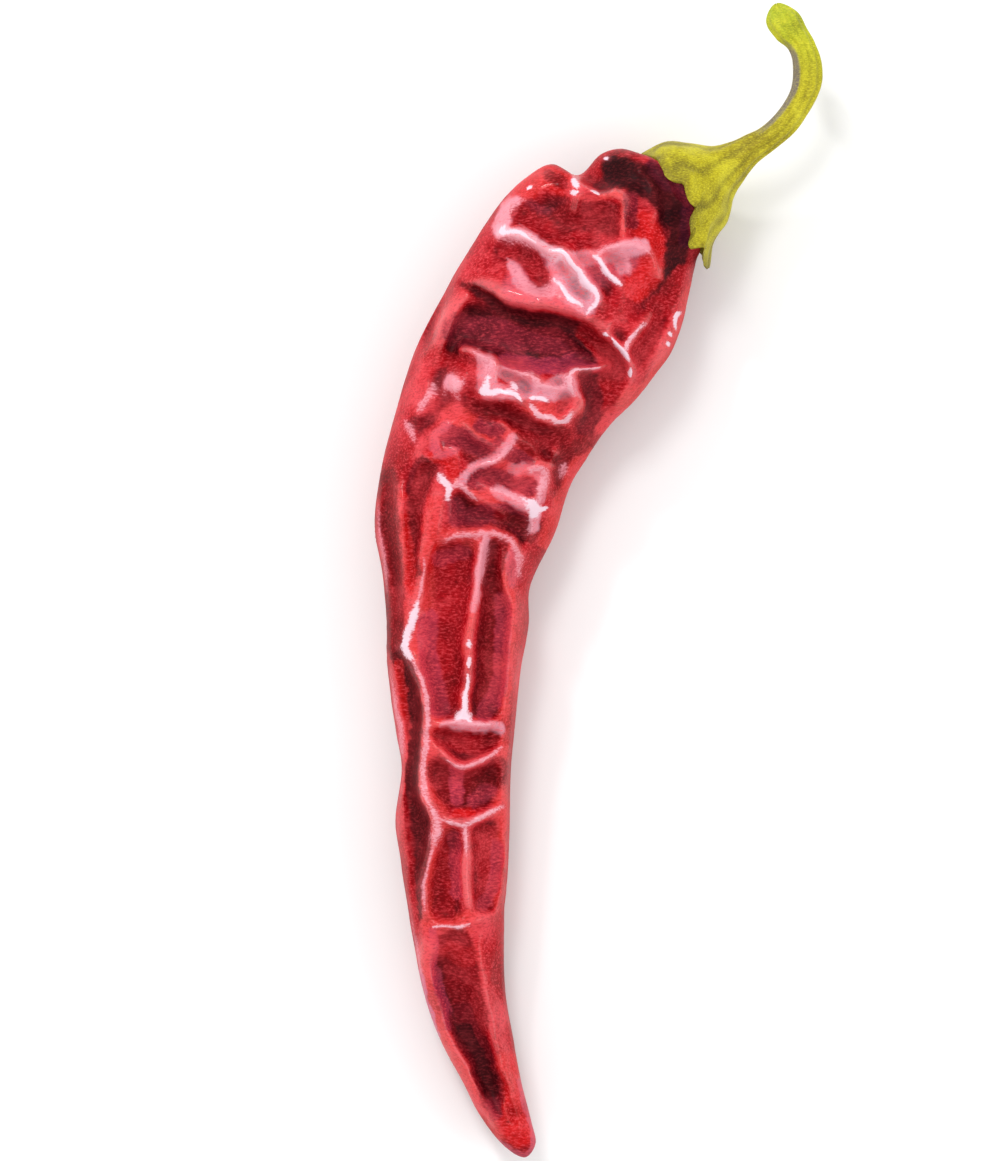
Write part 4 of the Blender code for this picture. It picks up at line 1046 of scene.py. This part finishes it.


# From brown to rose with the relief: partly the skin's own colour, partly painted shade and light.
RELIEF_COLOURS = [
    (0.0, (60, 6, 14)), (0.2, (96, 6, 16)), (0.38, (138, 8, 20)), (0.54, (176, 14, 26)),
    (0.72, (204, 40, 48)), (0.95, (220, 92, 98))]
# A painted sheen for the crests and painted shade for the folds.
CREST_SHEEN_COLOUR = (226, 84, 84)
FOLD_SHADE_COLOUR = (84, 8, 16)
SKIN_TONE = {"Patches per metre": 130.0, "Amount": 0.8, "Speckle": 0.85, "Darker": (0.48, 0.34, 0.4, 1.0),
             "Lighter": linear(222, 74, 82)}
# Colours of the painted highlights and of their painted glow.
HIGHLIGHT_HALO_COLOUR = (218, 96, 108)
WEAK_HIGHLIGHT_COLOUR = (220, 128, 142)
STRONG_HIGHLIGHT_COLOUR = (232, 206, 218)
skin, nodes, shader = new_material("dried skin")
height, crest, swell, wrinkle, upward = (
    nodes.field(name) for name in ("height", "crest", "swell", "wrinkle", "upward"))

# The skin's colour goes with the relief, from brown in the hollows to rose on the crests: partly its own
# colour, partly painted shade in the hollows and painted light on the crests.
level = nodes.line(swell, 0.10, nodes.line(crest, 0.45, nodes.line(height, 0.11, 0.54)))
relief_colour_and_shade = nodes.ramp(nodes.line(wrinkle, 0.06, level, clamp=True), RELIEF_COLOURS)
cover = nodes.product(nodes.field("patch", "Alpha"), 0.9)
painted = nodes.mix(cover, relief_colour_and_shade, nodes.field("patch", "Color"))
brightness = nodes.line(nodes.parts(painted)[0], 2.2, 0.02, clamp=True)
# A painted sheen on the crests.
crest_sheen = nodes.product(nodes.line(crest, 2.6, -0.25, clamp=True), brightness, 0.2)
painted = nodes.mix(crest_sheen, painted, linear(*CREST_SHEEN_COLOUR))
# Painted shade in the folds.
fold_shade = nodes.product(nodes.line(crest, -2.4, -0.2, clamp=True), 0.45)
painted = nodes.mix(fold_shade, painted, linear(*FOLD_SHADE_COLOUR))
mottled = toned(nodes, painted, SKIN_TONE)

# The painted highlights have a soft rose halo of painted glow, and the grain breaks up their edges and
# thins out the weak ones.
near_highlight, highlight_strength, _ = nodes.parts(nodes.field("glint", "Color"))
highlight_halo = nodes.product(nodes.maths("POWER", near_highlight, 1.5), 0.45)
highlight_haloed = nodes.mix(highlight_halo, mottled["Colour"], linear(*HIGHLIGHT_HALO_COLOUR))
rough = nodes.line(mottled["Clouds"], 0.7, nodes.line(mottled["Grain"], 1.5, -0.75))
rough = nodes.product(nodes.maths("SUBTRACT", rough, 0.35), nodes.line(highlight_strength, -0.65, 1.15))
edge = nodes.maths("SUBTRACT", nodes.maths("ADD", near_highlight, rough), 0.45)
share = nodes.maths("MULTIPLY", edge, nodes.line(highlight_strength, 3.0, 1.2), clamp=True)
highlight_thinned = nodes.maths("MAXIMUM", nodes.line(mottled["Grain"], 3.0, -0.75, clamp=True),
                   nodes.maths("SUBTRACT", highlight_strength, 0.05))
share = nodes.product(share, highlight_thinned, nodes.line(highlight_strength, 0.45, 0.5))
highlight_colour = nodes.mix(nodes.maths("POWER", highlight_strength, 2.0), linear(*WEAK_HIGHLIGHT_COLOUR), linear(*STRONG_HIGHLIGHT_COLOUR))
nodes.fill(shader["Base Color"], nodes.mix(share, highlight_haloed, highlight_colour))

# The skin is glossy on its crests and dull in its folds, and duller on the hidden side.
bump = nodes.node("ShaderNodeBump", Strength=0.3, Distance=0.0001, Height=mottled["Grain"])
nodes.fill(shader["Normal"], bump.outputs[0])
nodes.fill(shader["Roughness"], nodes.line(mottled["Grain"], 0.3, 0.3))
gloss = nodes.line(swell, 0.25, nodes.line(crest, 1.6, 0.14), clamp=True)
nodes.fill(shader["Coat Weight"], nodes.product(gloss, nodes.line(upward, 0.42, 0.12), brightness))
shader["Coat Roughness"].default_value = 0.13
shader["Specular IOR Level"].default_value = 0.06

finished(pod, wrinkles.tree, {**WRINKLE_SIZES, "Material": skin})
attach(pod, "root")
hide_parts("pod")

# The stalk is the green calyx that caps the shoulder and the stem that it narrows into. It is one
# dried, ribbed piece that ends where it was cut from the plant, in a small knob.
STALK_AROUND = 168
STALK_ALONG = 260
STALK_UNDER_RINGS = 24
SEAT_GAP = 0.4
CALYX_LIP = 0.08
CALYX_THICKNESS = 0.35
CALYX_CLEAR = 0.1
CALYX_REACH = 4.0
CALYX_LIFT = 1.6
CALYX_SPREAD = 60
CALYX_SPREAD_KEPT = 0.985
CALYX_HOLLOW = 6.0
CALYX_FOLLOW = (0.86, 1.0)
CALYX_DROP = 0.8
HIDDEN_RIM_RISE = 1.2
HIDDEN_RIM_SHARE = 0.6

# The calyx's ragged edge: places across it, from -1 at the left to 1 at the right, and how far up
# the stem the edge lies there, in millimetres. Below zero a tooth lies over the pod.
CALYX_RIM = [
    (-1.0, 0.3), (-0.9, 0.9), (-0.86, 1.3), (-0.81, 1.7), (-0.68, 1.5), (-0.52, 1.1), (-0.42, 1.4),
    (-0.27, 3.2), (-0.06, 2.3), (0.04, 2.2), (0.15, 2.7), (0.21, 1.4), (0.28, 0.6), (0.43, 0.0),
    (0.54, -1.2), (0.62, -1.1), (0.69, 0.9), (0.8, -0.2), (0.92, -0.6), (1.0, -0.3)]

# Sections from the calyx's edge to the knob, given as the pod's are.
STALK_SECTIONS = [
    ((640, 155), (709, 269), 9.3, 11.5),
    ((665, 143), (714, 243), 8.0, 11.6),
    ((690, 144), (727, 223), 6.2, 11.8),
    ((712, 147), (733, 200), 4.2, 12.0),
    ((730, 143), (741, 184), 3.1, 12.2),
    ((746, 136), (755, 165), 2.4, 12.5),
    ((762, 128), (775, 149), 2.0, 12.8),
    ((779, 111), (798, 128), 1.9, 13.1),
    ((791, 90), (819, 92), 2.0, 13.3),
    ((793, 66), (821, 66), 2.0, 13.4),
    ((788, 50), (815, 46), 2.0, 13.4),
    ((775, 39), (806, 30), 2.4, 13.4),
    ((766, 22), (796, 13), 2.2, 13.4),
    ((776, 5), (776, 5), 0.0, 13.4),
]
stalk_rows = section_rows(STALK_SECTIONS)
stalk_rows = np.vstack([2 * stalk_rows[0] - stalk_rows[1], stalk_rows, mirrored(stalk_rows[-2])])
stalk_end = float(len(STALK_SECTIONS))


def calyx_rim(angle):
    """How far up the stem the calyx's edge lies; the hidden side is a calmer copy of the shown one."""
    places, rise = np.array(CALYX_RIM).T
    cosine, sine = np.cos(angle), np.sin(angle)
    ends = np.interp(cosine, [-1, 1], rise[[0, -1]])
    calmer = HIDDEN_RIM_SHARE * np.interp(-cosine, places, rise) * np.abs(sine)
    hidden = ends + calmer + HIDDEN_RIM_RISE * np.sqrt(np.abs(sine))
    return np.where(sine >= 0, np.interp(cosine, places, rise), hidden)


def stalk_skin(t, angle):
    """Points of the stalk: t below 0 is the calyx's underside, 0 its edge, and then the stem."""
    values = smooth_values(stalk_rows, np.maximum(t, 0.0) + 1)
    middle, width, across, forward = section_frames(values)
    size = np.clip(1 + t, 0, 1)
    xy = middle + across * (width * np.cos(angle) * size)[:, None]
    drop = CALYX_DROP * smoothstep(0.0, CALYX_LIP, -t)
    z = values[:, 5] + (values[:, 4] * size - drop) * np.sin(angle)
    rim = calyx_rim(angle)
    edge = rim * (1 - smoothstep(0.0, 2.0, t))
    under_rim = smoothstep(*CALYX_FOLLOW, size)
    inside = np.maximum(seat(xy, z) + SEAT_GAP, rim - CALYX_HOLLOW * (1 - size))
    beneath = inside * (1 - under_rim) + rim * under_rim
    beneath -= (xy - shoulder_middle) @ shoulder_forward
    lean = np.where((t < 0)[:, None], beneath[:, None] * shoulder_forward, edge[:, None] * forward)
    return np.column_stack([xy + lean, z]), {"outside": (t >= 0).astype(float), "inner": -np.cos(angle)}


stalk_stations = list(np.linspace(-1, -CALYX_LIP, STALK_UNDER_RINGS))
stalk_stations += list(even_steps(stalk_rows, 1.0, stalk_end, STALK_ALONG) - 1)
stalk = ring_mesh("stalk_skin", STALK_AROUND, stalk_stations, stalk_skin)
stalk.data.transform(Matrix.Translation(pod_move))


def drape(piece, below):
    """Lift the calyx off the pod's skin on the shown side, and spread the lift so that it is smooth."""
    surface = BVHTree.FromPolygons([vertex.co for vertex in below.data.vertices],
                                   [face.vertices for face in below.data.polygons])
    along = np.array([item.value for item in piece.data.attributes["along"].data])
    places = np.array([vertex.co for vertex in piece.data.vertices])
    lift = np.zeros(len(places))
    clear = (CALYX_CLEAR + CALYX_THICKNESS) * MM
    start, down = Vector((0, 0, CALYX_LIFT * MM)), Vector((0, 0, -1))
    shown = (along >= 0) & (along < CALYX_REACH) & (places[:, 2] > shoulder_height * MM)
    for index in np.flatnonzero(shown):
        hit = surface.ray_cast(Vector(places[index]) + start, down)[0]
        if hit is not None:
            lift[index] = max(hit.z + clear - places[index, 2], 0.0)
    needed = lift[1:-1].reshape(-1, STALK_AROUND)[STALK_UNDER_RINGS - 1:]
    spread = needed.copy()
    for _ in range(CALYX_SPREAD):
        padded = np.pad(spread, ((1, 1), (0, 0)), mode="edge")
        around = padded[:-2] + padded[2:] + np.roll(spread, 1, axis=1) + np.roll(spread, -1, axis=1)
        spread = np.maximum(needed, CALYX_SPREAD_KEPT * around / 4)
    follow = smoothstep(*CALYX_FOLLOW, 1 + along[1::STALK_AROUND][:STALK_UNDER_RINGS - 1])
    places[1:-1, 2] += np.vstack([follow[:, None] * spread[0], spread]).ravel()
    piece.data.vertices.foreach_set("co", places.ravel())
    piece.data.update()


drape(stalk, pod)

# Its ribs run from the calyx's teeth up the stem, and wander a little.
RIB_SIZES = {"Ribs": 9.0, "Height": 0.00012, "Wander": 1.2, "Seed": 7.0}
ribs, given, ends = new_group(
    "GeometryNodeTree", "stalk ribs", {"Geometry": "Geometry", **RIB_SIZES, "Material": "Material"},
    {"Geometry": "Geometry"})
turn, outside = (
    ribs.node("GeometryNodeInputNamedAttribute", data_type="FLOAT", Name=name).outputs[0]
    for name in ("turn", "outside"))
noise = ribs.node("ShaderNodeTexNoise", ribs.node("GeometryNodeInputPosition").outputs[0],
                  noise_dimensions="4D", W=given["Seed"], Scale=140.0, Detail=2.0)
wander = ribs.product(noise.outputs[0], given["Wander"])
wave = ribs.maths("SINE", ribs.product(ribs.maths("ADD", turn, wander), given["Ribs"]))
raise_skin(ribs, given, ends, "rib", wave, ribs.product(wave, outside, given["Height"]))

STALK_TOP = 13.0
STALK_COLOURS = [
    (0.0, (136, 122, 12)), (0.03, (170, 158, 12)), (0.2, (176, 164, 16)), (0.42, (156, 140, 10)),
    (0.62, (186, 176, 22)), (0.8, (176, 180, 30)), (1.0, (158, 174, 34))]
GROOVE_SHADE_COLOUR = (110, 98, 14)
DRY_AND_SHADE_GREY = (122, 110, 98)
GREY_FROM, GREY_TO = 5.4, 10.8
STALK_TONE = {"Patches per metre": 230.0, "Amount": 0.65, "Speckle": 0.9, "Darker": (0.55, 0.52, 0.4, 1.0),
              "Lighter": linear(214, 206, 48)}
stem, nodes, shader = new_material("green stalk")
along, inner, rib = (nodes.field(name) for name in ("along", "inner", "rib"))
colour = nodes.ramp(nodes.maths("DIVIDE", along, STALK_TOP), STALK_COLOURS)
# The grooves between the ribs are painted darker, as shade.
groove = nodes.product(nodes.line(rib, -0.8, 0.1, clamp=True), nodes.line(along, -0.06, 0.8, clamp=True))
colour = nodes.mix(groove, colour, linear(*GROOVE_SHADE_COLOUR))
# A brownish-grey streak on the stem's inner side: partly its dried colour, partly painted shade.
grey_ends = nodes.product(nodes.maths("SUBTRACT", along, GREY_FROM, clamp=True),
                          nodes.maths("SUBTRACT", GREY_TO, along, clamp=True))
dry_and_shade_grey = nodes.product(nodes.line(inner, 8.0, -4.4, clamp=True), grey_ends)
colour = nodes.mix(dry_and_shade_grey, colour, linear(*DRY_AND_SHADE_GREY))
mottled = toned(nodes, colour, STALK_TONE)
nodes.fill(shader["Base Color"], mottled["Colour"])
bump = nodes.node("ShaderNodeBump", Strength=0.4, Distance=0.0002, Height=mottled["Grain"])
nodes.fill(shader["Normal"], bump.outputs[0])
shader["Roughness"].default_value = 0.55
shader["Specular IOR Level"].default_value = 0.25

finished(stalk, ribs.tree, {**RIB_SIZES, "Material": stem})
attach(stalk, "root")
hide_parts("stalk")

# The chilli lies on a plain pale table top in soft studio light. Each lamp has its place, its width
# and height, and its power in watts.
FLOOR_SIZE = 6.0
FLOOR_COLOUR = (0.9, 0.9, 0.9, 1.0)
WORLD_BRIGHTNESS = 0.88
LIGHTS = {
    "softbox": ((-0.20, 0.46, 0.78), 0.22, 0.22, 2.2),
    "spark": ((-0.34, 0.66, 0.60), 0.08, 0.08, 1.6),
    "left strip": ((-0.75, 0.05, 0.30), 0.3, 0.9, 0.8),
    "right fill": ((0.8, -0.2, 0.6), 0.5, 0.5, 2.0),
}
floor_mesh = bpy.data.meshes.new("floor")
floor_mesh.from_pydata([(x * FLOOR_SIZE / 2, y * FLOOR_SIZE / 2, 0)
                        for x, y in ((-1, -1), (1, -1), (1, 1), (-1, 1))], [], [(0, 1, 2, 3)])
floor = bpy.data.objects.new("floor", floor_mesh)
bpy.context.scene.collection.objects.link(floor)
paper, _, shader = new_material("pale paper")
shader["Base Color"].default_value = FLOOR_COLOUR
shader["Roughness"].default_value = 0.9
floor_mesh.materials.append(paper)

for label, (place, width, height, watts) in LIGHTS.items():
    lamp = bpy.data.lights.new(label, "AREA")
    lamp.shape, lamp.size, lamp.size_y, lamp.energy = "RECTANGLE", width, height, watts
    light = bpy.data.objects.new(label, lamp)
    light.location = place
    light.rotation_euler = (-Vector(place)).to_track_quat("-Z", "Y").to_euler()
    bpy.context.scene.collection.objects.link(light)
world = bpy.data.worlds.new("studio")
world.use_nodes = True
world.node_tree.nodes["Background"].inputs["Color"].default_value = (1.0, 1.0, 1.0, 1.0)
world.node_tree.nodes["Background"].inputs["Strength"].default_value = WORLD_BRIGHTNESS
bpy.context.scene.world = world
bpy.context.scene.view_settings.view_transform = "Standard"

# The photograph looks straight down on the chilli, from far enough that depth barely shows.
CAMERA_DISTANCE = 1.2
SENSOR = 36.0
PHOTO_LONG_SIDE = 1161
MIDDLE_HEIGHT = 0.011
PHOTO_MIDDLE = (500, 580.5)
camera = bpy.data.objects.new("camera", bpy.data.cameras.new("camera"))
camera.data.sensor_width = SENSOR
camera.data.lens = SENSOR * (CAMERA_DISTANCE - MIDDLE_HEIGHT) / (PHOTO_LONG_SIDE * PIXEL * MM)
camera_x, camera_y = photo_mm(PHOTO_MIDDLE) * MM
camera.location = (camera_x + pod_move.x, camera_y + pod_move.y, CAMERA_DISTANCE)
bpy.context.scene.collection.objects.link(camera)
bpy.context.scene.camera = camera
